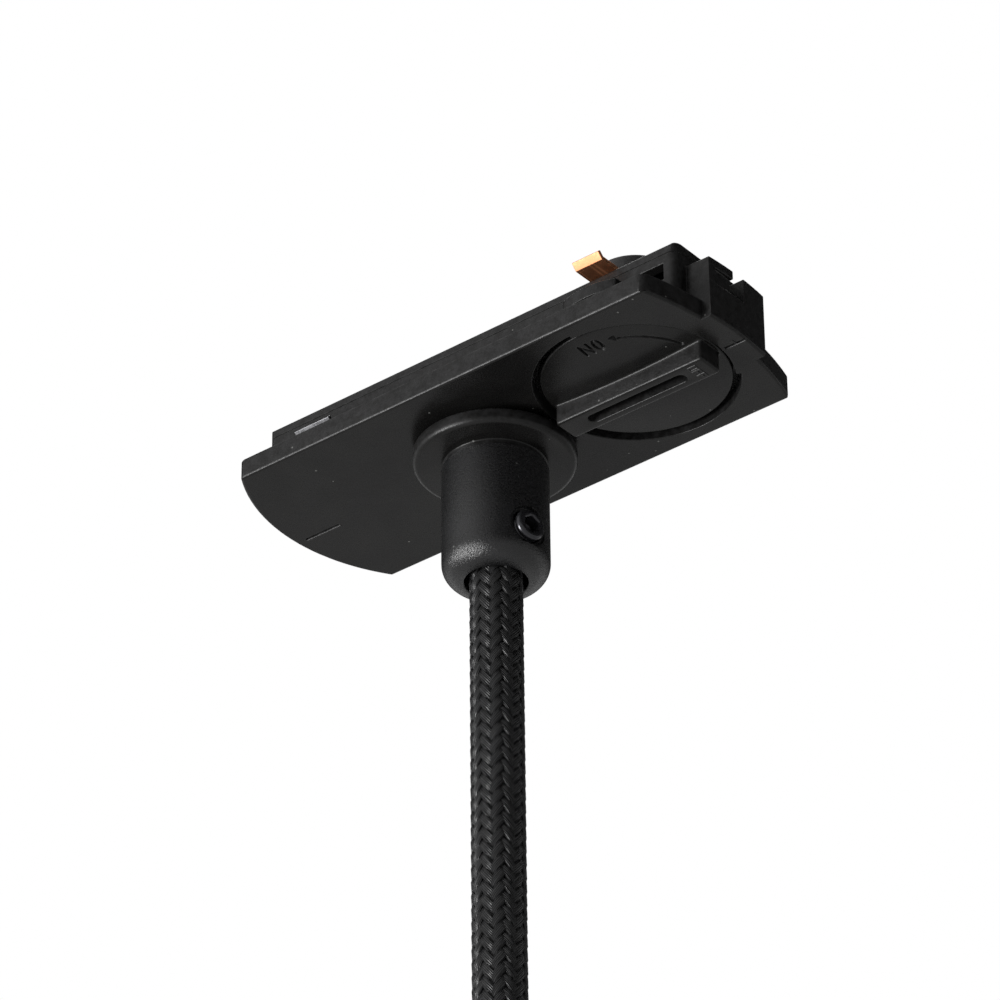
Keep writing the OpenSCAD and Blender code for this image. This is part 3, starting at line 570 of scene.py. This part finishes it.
spindle = softened([(0.0, DISC_BACK - 0.3), (SPINDLE_R, DISC_BACK - 0.3), (SPINDLE_R, WING_Z), (0.0, WING_Z)],
                   [0, 0, 0.15, 0])
drive_rows = [(0.0, 0.0, 0.0, WING_Z - 0.3), (DRIVE_W, DRIVE_W, 0.3, WING_Z - 0.3),
              (DRIVE_W, DRIVE_W, 0.3, DRIVE_TOP - 0.2), (DRIVE_W - 0.3, DRIVE_W - 0.3, 0.2, DRIVE_TOP),
              (0.0, 0.0, 0.0, DRIVE_TOP)]
knob = make_piece("knob_grip", knob_face() + [
    (np.concatenate([rib_foot(), stacked(rib_rows(), KNOB_X)]), False, True),
    (turned(spindle, 72, (KNOB_X, 0.0)), True, False),
    (stacked(drive_rows, KNOB_X), False, True)])
settle(knob, "knob", "black_moulding", "knob")

# %% [markdown]
# A small OFF stands raised on the end of the rib. Each stroke is a tiny bar with a rounded top,
# again a stack of rounded loops, turned into its own direction. The two line marks under the
# plate get a bead of the same kind along their far edge, which is where such a mark glints.

# %% Raised OFF on the rib
def raised_bars(lines, width, low, high):
    """One small bar for each stroke: rounded loops as long as the stroke, turned to its angle.

    The loops shrink over the bar's height as a quarter circle does, so its top is round. Each bar
    lies a hair lower than the one before, so that no points of two bars are merged."""
    bars = []
    bend = np.linspace(0, np.pi / 2, 6)
    for number, ((ax, ay), (bx, by)) in enumerate(lines):
        length, turn = np.hypot(bx - ax, by - ay) + width, np.arctan2(by - ay, bx - ax)
        inset = width * (1 - np.cos(bend))
        rows = [(length - d, width - d, 0.45 * (width - d), low + (high - low) * np.sin(b))
                for d, b in zip(inset, bend)]
        bar = stacked([(length - width, 0.0, 0.0, low)] + rows, 0.0) - [0.0, 0.0, 0.0015 * number]
        cos, sin = np.cos(turn), np.sin(turn)
        x, y = bar[..., 0].copy(), bar[..., 1].copy()
        bar[..., 0] = (ax + bx) / 2 + x * cos - y * sin
        bar[..., 1] = (ay + by) / 2 + x * sin + y * cos
        bars.append((bar, False, True))
    return bars


def letter_lines(word, start, size):
    """Strokes of O and F in a box of size (across, along); words run along +Y, tops towards +X."""
    wide, tall = size
    shapes = {"O": [(0, 0, 0, 1), (0, 1, 1, 1), (1, 1, 1, 0), (1, 0, 0, 0)],
              "F": [(0, 0, 0, 1), (0, 1, 1, 1), (0, 0.55, 0.8, 0.55)]}
    lines = []
    for place, letter in enumerate(word):
        y0 = start[1] + place * wide * 1.5
        lines += [((start[0] + b * tall, y0 + a * wide), (start[0] + d * tall, y0 + c * wide))
                  for a, b, c, d in shapes[letter]]
    return lines


off_lines = letter_lines("OFF", (KNOB_X + 8.35, -1.2), (0.62, 1.05))
off_sign = make_piece("knob_off_sign", raised_bars(off_lines, 0.25, RIB_Z + 0.05, RIB_Z - 0.1))
settle(off_sign, "knob", "black_moulding")
MARKS = [((-32.45, 1.38), (-27.15, 1.38)), ((32.2, 1.38), (34.95, 1.38))]
beads = make_piece("mark_beads", raised_bars(MARKS, 0.26, PLATE_LOW + 0.06, PLATE_LOW - 0.1))
settle(beads, "adapter", "black_moulding")

# %% [markdown]
# ## Moulded body and stamped parts
#
# The base, the cover, the lock wing, the turret and the contacts are right as solids; they only
# lack the small radius that every mould and press leaves. A merged copy of each gets a bevel on
# its edges steeper than 30 degrees, and normals that follow its largest faces, so that flat faces
# stay flat beside a rounding. The cover and the plate of the base have their roundings already, so
# there only the body and the knob's recess get a bevel, and the other steep edges stay crisp.

# %% Softened copies
STEEP = np.radians(30)


def wanted(node, x, y, z):
    """Whether an edge at a place gets a bevel: on the base only above the plate and round the recess,
    and none on the cover."""
    rim = abs(z - PLATE_LOW) < 0.01 and np.hypot(x - KNOB_X, y) < DISC_R + 1.2
    return node != "top_cover" and (node != "base" or z > 0.4 or rim)


def soft_copy(node, name, width, body, slot, segments=2, merge=0.002):
    """A merged copy of a solid with a bevel of the given width in mm along its edges.

    An edge counts by the angle between its two faces, and by the place of its middle."""
    mesh = nodes[node].data.copy()
    mesh.name = name
    work = bmesh.new()
    work.from_mesh(mesh)
    bmesh.ops.remove_doubles(work, verts=work.verts, dist=merge * MM)
    bmesh.ops.dissolve_degenerate(work, edges=work.edges, dist=merge * MM)
    bmesh.ops.dissolve_limit(work, angle_limit=0.008, verts=work.verts, edges=work.edges)
    bmesh.ops.recalc_face_normals(work, faces=work.faces)
    weight = work.edges.layers.float.new("bevel_weight_edge")
    for edge in work.edges:
        middle = np.mean([v.co for v in edge.verts], axis=0) / MM
        steep = edge.is_manifold and edge.calc_face_angle(0.0) > STEEP
        soft = steep and wanted(node, *middle)
        edge[weight] = float(soft)
        edge.smooth = soft or not steep
    work.to_mesh(mesh)
    work.free()
    if mesh.has_custom_normals:
        mesh.attributes.remove(mesh.attributes["custom_normal"])
    mesh.shade_smooth()
    piece = bpy.data.objects.new(name, mesh)
    scene.collection.objects.link(piece)
    bevel = piece.modifiers.new("edges", "BEVEL")
    bevel.width, bevel.segments = width * MM, segments
    bevel.limit_method = "WEIGHT"
    bevel.use_clamp_overlap = False
    flat = piece.modifiers.new("flat_faces", "WEIGHTED_NORMAL")
    flat.keep_sharp = True
    print(name, "faces:", len(mesh.polygons))
    return settle(piece, body, slot, node)


soft_copy("base", "base_body", 0.12, "adapter", "black_moulding", merge=0.02)
soft_copy("top_cover", "cover_lid", 0.2, "adapter", "black_moulding")
soft_copy("cover_screws", "cover_screw_pair", 0.07, "adapter", "plated_steel")
soft_copy("lock_wing", "wing_plate", 0.12, "knob", "black_moulding")
soft_copy("turret", "contact_turret", 0.12, "knob", "dark_insulator")
soft_copy("live_contact", "live_blade", 0.08, "knob", "copper")
soft_copy("neutral_contact", "neutral_blade", 0.08, "knob", "copper")
soft_copy("spindle_screw", "spindle_fixing", 0.07, "knob", "plated_steel")
soft_copy("spindle_washer", "spindle_disc", 0.06, "knob", "spring_steel")
soft_copy("earth_spring", "earth_clip", 0.08, "adapter", "spring_steel")

# %% [markdown]
# A small raised triangle under the tongue points to the end that goes in first. It is four rings
# of three points: the foot, a slightly smaller top and their two middles.

# %% Pointer under the tongue
POINTER = np.array([(33.31, 0.48), (33.84, 0.26), (33.95, 1.28)])


def pointer_grid(low, high):
    """The triangle's corners drawn towards their middle by a share: 0 and 1 at the foot, 0.92 and 0
    at the top."""
    middle = POINTER.mean(axis=0)
    rows = [(0.0, low), (1.0, low), (0.92, high), (0.0, high)]
    rings = [np.column_stack([middle + share * (POINTER - middle), np.full(3, z)]) for share, z in rows]
    return np.stack(rings)


pointer = make_piece("track_pointer", [(pointer_grid(PLATE_LOW + 0.05, PLATE_LOW - 0.06), False, True)])
settle(pointer, "adapter", "black_moulding")

# %% [markdown]
# ## Shared effects
#
# The finishes share a few effects, so each is a node group with its own inputs: the fine grain
# of a moulding with its cloudy patches, the paler line where an edge is rubbed, hair scratches
# on metal, and the single fibres of a yarn bundle. A group gives out only masks and heights; the
# shader stays in the material.

# %% Node helpers
def add(tree, kind, inputs=None, **settings):
    """Adds a node, sets its options, and fills its inputs with values or links."""
    node = tree.nodes.new("ShaderNode" + kind)
    for option, value in settings.items():
        setattr(node, option, value)
    for socket, value in (inputs or {}).items():
        if isinstance(value, bpy.types.NodeSocket):
            tree.links.new(value, node.inputs[socket])
        else:
            node.inputs[socket].default_value = value
    return node


def new_group(name, inputs, outputs):
    """An empty node group with float inputs and outputs, and its two end nodes."""
    tree = bpy.data.node_groups.new(name, "ShaderNodeTree")
    for socket, value in inputs.items():
        tree.interface.new_socket(socket, in_out="INPUT", socket_type="NodeSocketFloat").default_value = value
    for socket in outputs:
        tree.interface.new_socket(socket, in_out="OUTPUT", socket_type="NodeSocketFloat")
    return tree, tree.nodes.new("NodeGroupInput"), tree.nodes.new("NodeGroupOutput")


def math(tree, operation, a, b=0.0, clamp=False):
    """One math node; its two inputs are values or links."""
    return add(tree, "Math", {0: a, 1: b}, operation=operation, use_clamp=clamp).outputs[0]


# %% Grain, wear, scratches and fibres
def make_grain():
    """Moulded grain: two noises, one of them finer, as a height; a wide noise as cloudy patches and a
    closer one as blotches; the few cells of a voronoi close to their point as specks of dust."""
    inputs = {"Grain": 3000.0, "Twist": 0.0, "Patch": 90.0, "Dust": 700.0}
    tree, start, end = new_group("moulded_grain", inputs, ["Height", "Cloud", "Blotch", "Speck"])
    place = add(tree, "TexCoord").outputs["Object"]
    coarse = add(tree, "TexNoise", {"Vector": place, "Scale": start.outputs["Grain"], "Detail": 3.0,
                                    "Roughness": 0.6, "Distortion": start.outputs["Twist"]}).outputs["Fac"]
    fine_scale = math(tree, "MULTIPLY", start.outputs["Grain"], 2.7)
    fine = add(tree, "TexNoise", {"Vector": place, "Scale": fine_scale, "Detail": 2.0}).outputs["Fac"]
    height = math(tree, "MULTIPLY_ADD", fine, 0.5)
    tree.links.new(coarse, height.node.inputs[2])
    cloud = add(tree, "TexNoise", {"Vector": place, "Scale": start.outputs["Patch"], "Detail": 5.0,
                                   "Roughness": 0.62, "Distortion": 0.6}).outputs["Fac"]
    blotch_scale = math(tree, "MULTIPLY", start.outputs["Grain"], 0.3)
    blotch = add(tree, "TexNoise", {"Vector": place, "Scale": blotch_scale, "Detail": 5.0,
                                    "Roughness": 0.75}).outputs["Fac"]
    cells = add(tree, "TexVoronoi", {"Vector": place, "Scale": start.outputs["Dust"]})
    cell_red = add(tree, "SeparateColor", {0: cells.outputs["Color"]}).outputs[0]
    chosen = math(tree, "GREATER_THAN", cell_red, 0.86)
    near = math(tree, "LESS_THAN", cells.outputs["Distance"], 0.09)
    speck = math(tree, "MULTIPLY", chosen, near)
    for socket, value in (("Height", height), ("Cloud", cloud), ("Blotch", blotch), ("Speck", speck)):
        tree.links.new(value, end.inputs[socket])
    return tree


def make_wear():
    """Rubbed edges: where the normal of a rounded edge leaves the surface's own normal, broken up
    by a noise, so that the pale line comes and goes."""
    tree, start, end = new_group("rubbed_edges", {"Radius": 0.00025, "Break": 900.0}, ["Edge"])
    own = add(tree, "NewGeometry").outputs["Normal"]
    bent = add(tree, "Bevel", {"Radius": start.outputs["Radius"]}, samples=6).outputs[0]
    same = add(tree, "VectorMath", {0: own, 1: bent}, operation="DOT_PRODUCT").outputs["Value"]
    edge = add(tree, "MapRange", {"Value": same, 1: 0.99, 2: 0.8, 3: 0.0, 4: 1.0}).outputs[0]
    place = add(tree, "TexCoord").outputs["Object"]
    noise = add(tree, "TexNoise", {"Vector": place, "Scale": start.outputs["Break"], "Detail": 3.0})
    broken = add(tree, "MapRange", {"Value": noise.outputs["Fac"], 1: 0.38, 2: 0.62}).outputs[0]
    tree.links.new(math(tree, "MULTIPLY", edge, broken), end.inputs["Edge"])
    return tree


def make_scratches():
    """Hair scratches: a noise that is stretched sixty times along a slanted line, kept only near
    its middle value, where it draws thin lines."""
    tree, start, end = new_group("hair_scratches", {"Density": 500.0, "Width": 0.02}, ["Scratch"])
    place = add(tree, "TexCoord").outputs["Object"]
    marks = []
    for turn in ((0.2, 0.5, 0.9), (1.1, 0.3, 2.3)):
        lines = add(tree, "Mapping", {"Vector": place, "Rotation": turn, "Scale": (1.0, 0.016, 1.0)})
        noise = add(tree, "TexNoise", {"Vector": lines.outputs[0], "Scale": start.outputs["Density"],
                                       "Detail": 2.0})
        off = math(tree, "ABSOLUTE", math(tree, "SUBTRACT", noise.outputs["Fac"], 0.5))
        marks.append(math(tree, "LESS_THAN", off, start.outputs["Width"]))
    tree.links.new(math(tree, "MAXIMUM", marks[0], marks[1]), end.inputs["Scratch"])
    return tree


def make_fibres():
    """Yarns and fibres of a bundle, on the piece's own coordinates.

    The cosine of u is the place across the bundle, and the size of a sine of it draws one ridge for
    each yarn. A noise, many times across and slowly along, draws the fibres and lets the ridges
    wander; the bundle's number in v keeps bundles apart."""
    tree, start, end = new_group("yarn_fibres", {"Yarns": 5.0, "Across": 16.0, "Along": 55.0},
                                 ["Height", "Tone", "Ridge"])
    place = add(tree, "SeparateXYZ", {0: add(tree, "TexCoord").outputs["UV"]})
    across = math(tree, "MULTIPLY", place.outputs[0], start.outputs["Across"])
    along = math(tree, "MULTIPLY", place.outputs[1], start.outputs["Along"])
    thread = add(tree, "CombineXYZ", {0: across, 1: along}).outputs[0]
    height = add(tree, "TexNoise", {"Vector": thread, "Scale": 1.0, "Detail": 2.0, "Roughness": 0.6},
                 noise_dimensions="2D").outputs["Fac"]
    wider = add(tree, "VectorMath", {0: thread, 1: (0.7, 0.25, 1.0)}, operation="MULTIPLY").outputs[0]
    tone = add(tree, "TexNoise", {"Vector": wider, "Scale": 1.0, "Detail": 1.0},
               noise_dimensions="2D").outputs["Fac"]
    beside = math(tree, "COSINE", math(tree, "MULTIPLY", place.outputs[0], 2 * np.pi))
    beside = math(tree, "ADD", beside, math(tree, "MULTIPLY", tone, 0.3))
    beside = math(tree, "MULTIPLY", beside, math(tree, "MULTIPLY", start.outputs["Yarns"], np.pi / 2))
    ridge = math(tree, "ABSOLUTE", math(tree, "SINE", beside))
    raised = math(tree, "ADD", ridge, math(tree, "MULTIPLY", height, 0.5))
    for socket, value in (("Height", raised), ("Tone", tone), ("Ridge", ridge)):
        tree.links.new(value, end.inputs[socket])
    return tree


GRAIN, WEAR, SCRATCHES, FIBRES = make_grain(), make_wear(), make_scratches(), make_fibres()
print("effects:", [g.name for g in bpy.data.node_groups])

# %% [markdown]
# ## Finishes
#
# All black parts are the same family: almost black, with a satin gloss that comes from a fine
# grain. What sets them apart is how fine the grain is and how even. Metal parts are plain metal
# with hair scratches, and the insulated cores are soft plastic.

# %% Moulded and painted finishes
def use(tree, group, **inputs):
    """Places a node group in a material with its own input values."""
    node = tree.nodes.new("ShaderNodeGroup")
    node.node_tree = group
    for socket, value in inputs.items():
        node.inputs[socket].default_value = value
    return node


def new_material(name):
    """A material with only its Principled shader, its tree and the shader."""
    material = bpy.data.materials.new(name)
    material.use_nodes = True
    return material, material.node_tree, material.node_tree.nodes["Principled BSDF"]


def blend(tree, share, low, high):
    """A colour between two others; share is a value or a link."""
    node = tree.nodes.new("ShaderNodeMix")
    node.data_type = "RGBA"
    for socket, value in ((0, share), (6, low), (7, high)):
        if isinstance(value, bpy.types.NodeSocket):
            tree.links.new(value, node.inputs[socket])
        else:
            node.inputs[socket].default_value = value if socket == 0 else (*value, 1.0)
    return node.outputs[2]


def moulded(name, dark, pale, rough, gloss, grain=3000.0, bump=0.08, edge=0.3, rub=(0.09, 0.09, 0.09),
            twist=0.0, walls=(0.0, 0.0, 0.0)):
    """Moulded plastic: two tones by its clouds, paler rubbed edges and dust, grain as bump.

    Upright walls are rougher and more grainy than level faces by the first two amounts of
    walls, because a mould's walls are eroded and its faces are polished. By the third amount
    their blotches turn paler, which is partly mottling and partly painted light on the walls."""
    material, tree, shader = new_material(name)
    effect, wear = use(tree, GRAIN, Grain=grain, Twist=twist), use(tree, WEAR)
    level_part = add(tree, "SeparateXYZ", {0: add(tree, "NewGeometry").outputs["Normal"]}).outputs[2]
    upright = add(tree, "MapRange", {"Value": math(tree, "ABSOLUTE", level_part), 1: 0.9, 2: 0.5}).outputs[0]
    cloud = add(tree, "MapRange", {"Value": effect.outputs["Cloud"], 1: 0.35, 2: 0.68}).outputs[0]
    colour = blend(tree, cloud, dark, pale)
    # Blotches on upright walls blend towards a paler grey: partly mottling, partly painted light that
    # brightens the walls.
    blotch = add(tree, "MapRange", {"Value": effect.outputs["Blotch"], 1: 0.4, 2: 0.68, 4: walls[2]})
    wall_mottle_and_painted_light = math(tree, "MULTIPLY", upright, blotch.outputs[0])
    colour = blend(tree, wall_mottle_and_painted_light, colour, (0.05, 0.05, 0.052))
    colour = blend(tree, math(tree, "MULTIPLY", wear.outputs["Edge"], edge), colour, rub)
    colour = blend(tree, math(tree, "MULTIPLY", effect.outputs["Speck"], 0.35), colour, (0.2, 0.2, 0.19))
    tree.links.new(colour, shader.inputs["Base Color"])
    grainy = math(tree, "MULTIPLY_ADD", effect.outputs["Height"], 0.16)
    grainy.node.inputs[2].default_value = rough[0] - 0.12
    spread = math(tree, "MULTIPLY_ADD", effect.outputs["Cloud"], rough[1])
    tree.links.new(grainy, spread.node.inputs[2])
    rougher = math(tree, "MULTIPLY_ADD", math(tree, "MULTIPLY", upright, effect.outputs["Blotch"]), walls[0])
    tree.links.new(spread, rougher.node.inputs[2])
    tree.links.new(rougher, shader.inputs["Roughness"])
    shader.inputs["Specular IOR Level"].default_value = gloss
    strength = math(tree, "MULTIPLY_ADD", upright, walls[1])
    strength.node.inputs[2].default_value = bump
    raised = add(tree, "Bump", {"Height": effect.outputs["Height"], "Strength": strength,
                                "Distance": 0.00025})
    tree.links.new(raised.outputs[0], shader.inputs["Normal"])
    return material


finishes = {
    "black_moulding": moulded("black_moulding", (0.0036, 0.0035, 0.0034), (0.0064, 0.0062, 0.006),
                              (0.22, 0.08), 0.16, grain=3600.0, bump=0.04, walls=(0.2, 0.13, 0.18)),
    "grip_black": moulded("grip_black", (0.0036, 0.0036, 0.0038), (0.006, 0.006, 0.0064), (0.24, 0.08), 0.4,
                          grain=3800.0, bump=0.32, edge=0.04, twist=1.2),
    "dark_insulator": moulded("dark_insulator", (0.014, 0.014, 0.0145), (0.024, 0.024, 0.025),
                              (0.42, 0.1), 0.5, bump=0.1),
    "brown_core": moulded("brown_core", (0.12, 0.05, 0.025), (0.16, 0.07, 0.035), (0.4, 0.1), 0.5),
    "blue_core": moulded("blue_core", (0.03, 0.09, 0.32), (0.045, 0.12, 0.40), (0.4, 0.1), 0.5),
    "green_core": moulded("green_core", (0.10, 0.30, 0.03), (0.42, 0.40, 0.04), (0.4, 0.1), 0.5),
}
print("moulded finishes:", sorted(finishes))

# %% Metal finishes
def metal(name, dark, pale, rough, shine=1.0, scratch=0.35, bump=0.12):
    """Bare or treated metal: two tones by its clouds, scratches that are rougher and paler, and
    bright rubbed edges."""
    material, tree, shader = new_material(name)
    effect, wear, lines = use(tree, GRAIN, Grain=2200.0, Patch=160.0), use(tree, WEAR), use(tree, SCRATCHES)
    cloud = add(tree, "MapRange", {"Value": effect.outputs["Cloud"], 1: 0.35, 2: 0.68}).outputs[0]
    colour = blend(tree, cloud, dark, pale)
    worn = math(tree, "MULTIPLY", lines.outputs["Scratch"], scratch)
    rubbed = math(tree, "MULTIPLY", wear.outputs["Edge"], 0.5)
    colour = blend(tree, math(tree, "MAXIMUM", worn, rubbed), colour, tuple(min(1.0, 1.25 * c) for c in pale))
    tree.links.new(colour, shader.inputs["Base Color"])
    rougher = math(tree, "MULTIPLY_ADD", effect.outputs["Cloud"], 0.16)
    rougher.node.inputs[2].default_value = rough - 0.08
    tree.links.new(math(tree, "MULTIPLY_ADD", worn, 0.25), shader.inputs["Roughness"])
    tree.links.new(rougher, shader.inputs["Roughness"].links[0].from_node.inputs[2])
    shader.inputs["Metallic"].default_value = shine
    raised = add(tree, "Bump", {"Height": effect.outputs["Height"], "Strength": bump, "Distance": 0.00004})
    tree.links.new(raised.outputs[0], shader.inputs["Normal"])
    return material


finishes.update({
    "black_screw": metal("black_screw", (0.018, 0.018, 0.020), (0.035, 0.035, 0.039), 0.24, 0.65, 0.1),
    "copper": metal("copper", (0.36, 0.15, 0.075), (0.48, 0.215, 0.11), 0.46),
    "terminal_brass": metal("terminal_brass", (0.58, 0.40, 0.14), (0.70, 0.51, 0.20), 0.32),
    "spring_steel": metal("spring_steel", (0.07, 0.07, 0.073), (0.11, 0.11, 0.114), 0.36),
    "plated_steel": metal("plated_steel", (0.50, 0.51, 0.525), (0.62, 0.63, 0.645), 0.34),
})
print("finishes:", sorted(finishes))

# %% Textile finish
def textile():
    """Braid: dark yarns that differ in tone, with painted shade in the grooves between them and a soft sheen.
    """
    material, tree, shader = new_material("braid")
    yarn = use(tree, FIBRES)
    tone = add(tree, "MapRange", {"Value": yarn.outputs["Tone"], 1: 0.3, 2: 0.72}).outputs[0]
    colour = blend(tree, tone, (0.003, 0.003, 0.0032), (0.014, 0.014, 0.0146))
    # Painted shade: the colour darkens towards the grooves between the yarns and stays full on the crests.
    crest_vs_painted_groove_shade = add(tree, "MapRange", {"Value": yarn.outputs["Ridge"], 1: 0.1, 2: 0.75}).outputs[0]
    tree.links.new(blend(tree, crest_vs_painted_groove_shade, (0.0015, 0.0015, 0.0016), colour), shader.inputs["Base Color"])
    gloss = add(tree, "MapRange", {"Value": yarn.outputs["Ridge"], 1: 0.2, 2: 0.9, 3: 0.6, 4: 0.25})
    tree.links.new(gloss.outputs[0], shader.inputs["Roughness"])
    shader.inputs["Specular IOR Level"].default_value = 0.24
    shader.inputs["Sheen Weight"].default_value = 0.03
    shader.inputs["Sheen Roughness"].default_value = 0.4
    raised = add(tree, "Bump", {"Height": yarn.outputs["Height"], "Strength": 0.85, "Distance": 0.00008})
    tree.links.new(raised.outputs[0], shader.inputs["Normal"])
    return material


finishes["braid"] = textile()

# %% Give every piece its finish
for shown in [o for o in scene.objects if o.type == "MESH" and "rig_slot" in o]:
    shown.data.materials.clear()
    shown.data.materials.append(finishes[shown["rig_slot"]])
for solid in nodes.values():
    for holder in solid.material_slots:
        holder.material = finishes[holder.material.name.split(".")[0]]

# %% [markdown]
# ## Light and surroundings
#
# The object hangs over a pale floor in a white studio, whose world gives most of the light. One
# broad lamp stands low on the near left, so the walls that face it are bright and the undersides
# stay dark. It also draws the bright lines along the lower edges, because a rounded edge that
# turns from a wall to an underside mirrors it. A dark card stands round the other three sides
# above the part and keeps those sides of the grip deep black.

# %% World, floor and lamps
world = bpy.data.worlds.new("studio")
scene.world = world
world.use_nodes = True
sky = world.node_tree
light_path = add(sky, "LightPath")
seen = math(sky, "MAXIMUM", light_path.outputs["Is Camera Ray"], light_path.outputs["Is Glossy Ray"])
seen = math(sky, "MAXIMUM", seen, light_path.outputs["Is Transmission Ray"])
WORLD_LIGHT, WORLD_SEEN = 0.75, 1.0
level_of = add(sky, "MapRange", {"Value": seen, 3: WORLD_LIGHT, 4: WORLD_SEEN}).outputs[0]
sky.nodes["Background"].inputs["Color"].default_value = (1.0, 1.0, 1.0, 1.0)
sky.links.new(level_of, sky.nodes["Background"].inputs["Strength"])


def stage_paint(name, dark, pale, rough):
    """A matt paint for the stage, between two greys by a wide noise."""
    material, tree, shader = new_material(name)
    place = add(tree, "TexCoord").outputs["Object"]
    patches = add(tree, "TexNoise", {"Vector": place, "Scale": 6.0}).outputs["Fac"]
    tree.links.new(blend(tree, patches, (dark,) * 3, (pale,) * 3), shader.inputs["Base Color"])
    shader.inputs["Roughness"].default_value = rough
    return material


FLOOR_Z, FLOOR_HALF = -800.0, 30000.0
spots = np.linspace(-FLOOR_HALF, FLOOR_HALF, 13)
floor_x, floor_y = np.meshgrid(spots, spots)
floor_points = np.stack([floor_x, floor_y, np.full_like(floor_x, FLOOR_Z)], axis=-1)
floor = make_piece("floor", [(floor_points, False, False)])
floor.data.materials.append(stage_paint("floor_paint", 0.78, 0.82, 0.8))

CARD_R, CARD_LOW, CARD_HIGH = 700.0, 90.0, 1100.0
card_span = np.radians(np.linspace(-75.0, 200.0, 56))
card_turn, card_z = np.meshgrid(card_span, np.linspace(CARD_LOW, CARD_HIGH, 6))
card_points = np.stack([CARD_R * np.cos(card_turn), CARD_R * np.sin(card_turn), card_z], axis=-1)
card = make_piece("dark_card", [(card_points, False, False)])
card.data.materials.append(stage_paint("card_paint", 0.02, 0.03, 0.9))
card.visible_camera = False


def lamp(name, toward, distance, size, watts):
    """A square area lamp at a direction and distance from the object, facing it."""
    data = bpy.data.lights.new(name, "AREA")
    data.size, data.energy = size, watts
    holder = bpy.data.objects.new(name, data)
    out = np.array(toward, float) / np.linalg.norm(toward)
    across = np.cross([0.0, 0.0, 1.0], out)
    across /= np.linalg.norm(across)
    place = np.eye(4)
    place[:3] = np.column_stack([across, np.cross(out, across), out, out * distance + AIM])
    holder.matrix_world = Matrix(place.tolist())
    scene.collection.objects.link(holder)


lamp("near_left_lamp", (-0.46, -0.82, -0.36), 0.75, 0.3, 11.0)
lamp("top_lamp", (-0.3, 0.5, 0.8), 0.9, 0.5, 2.0)
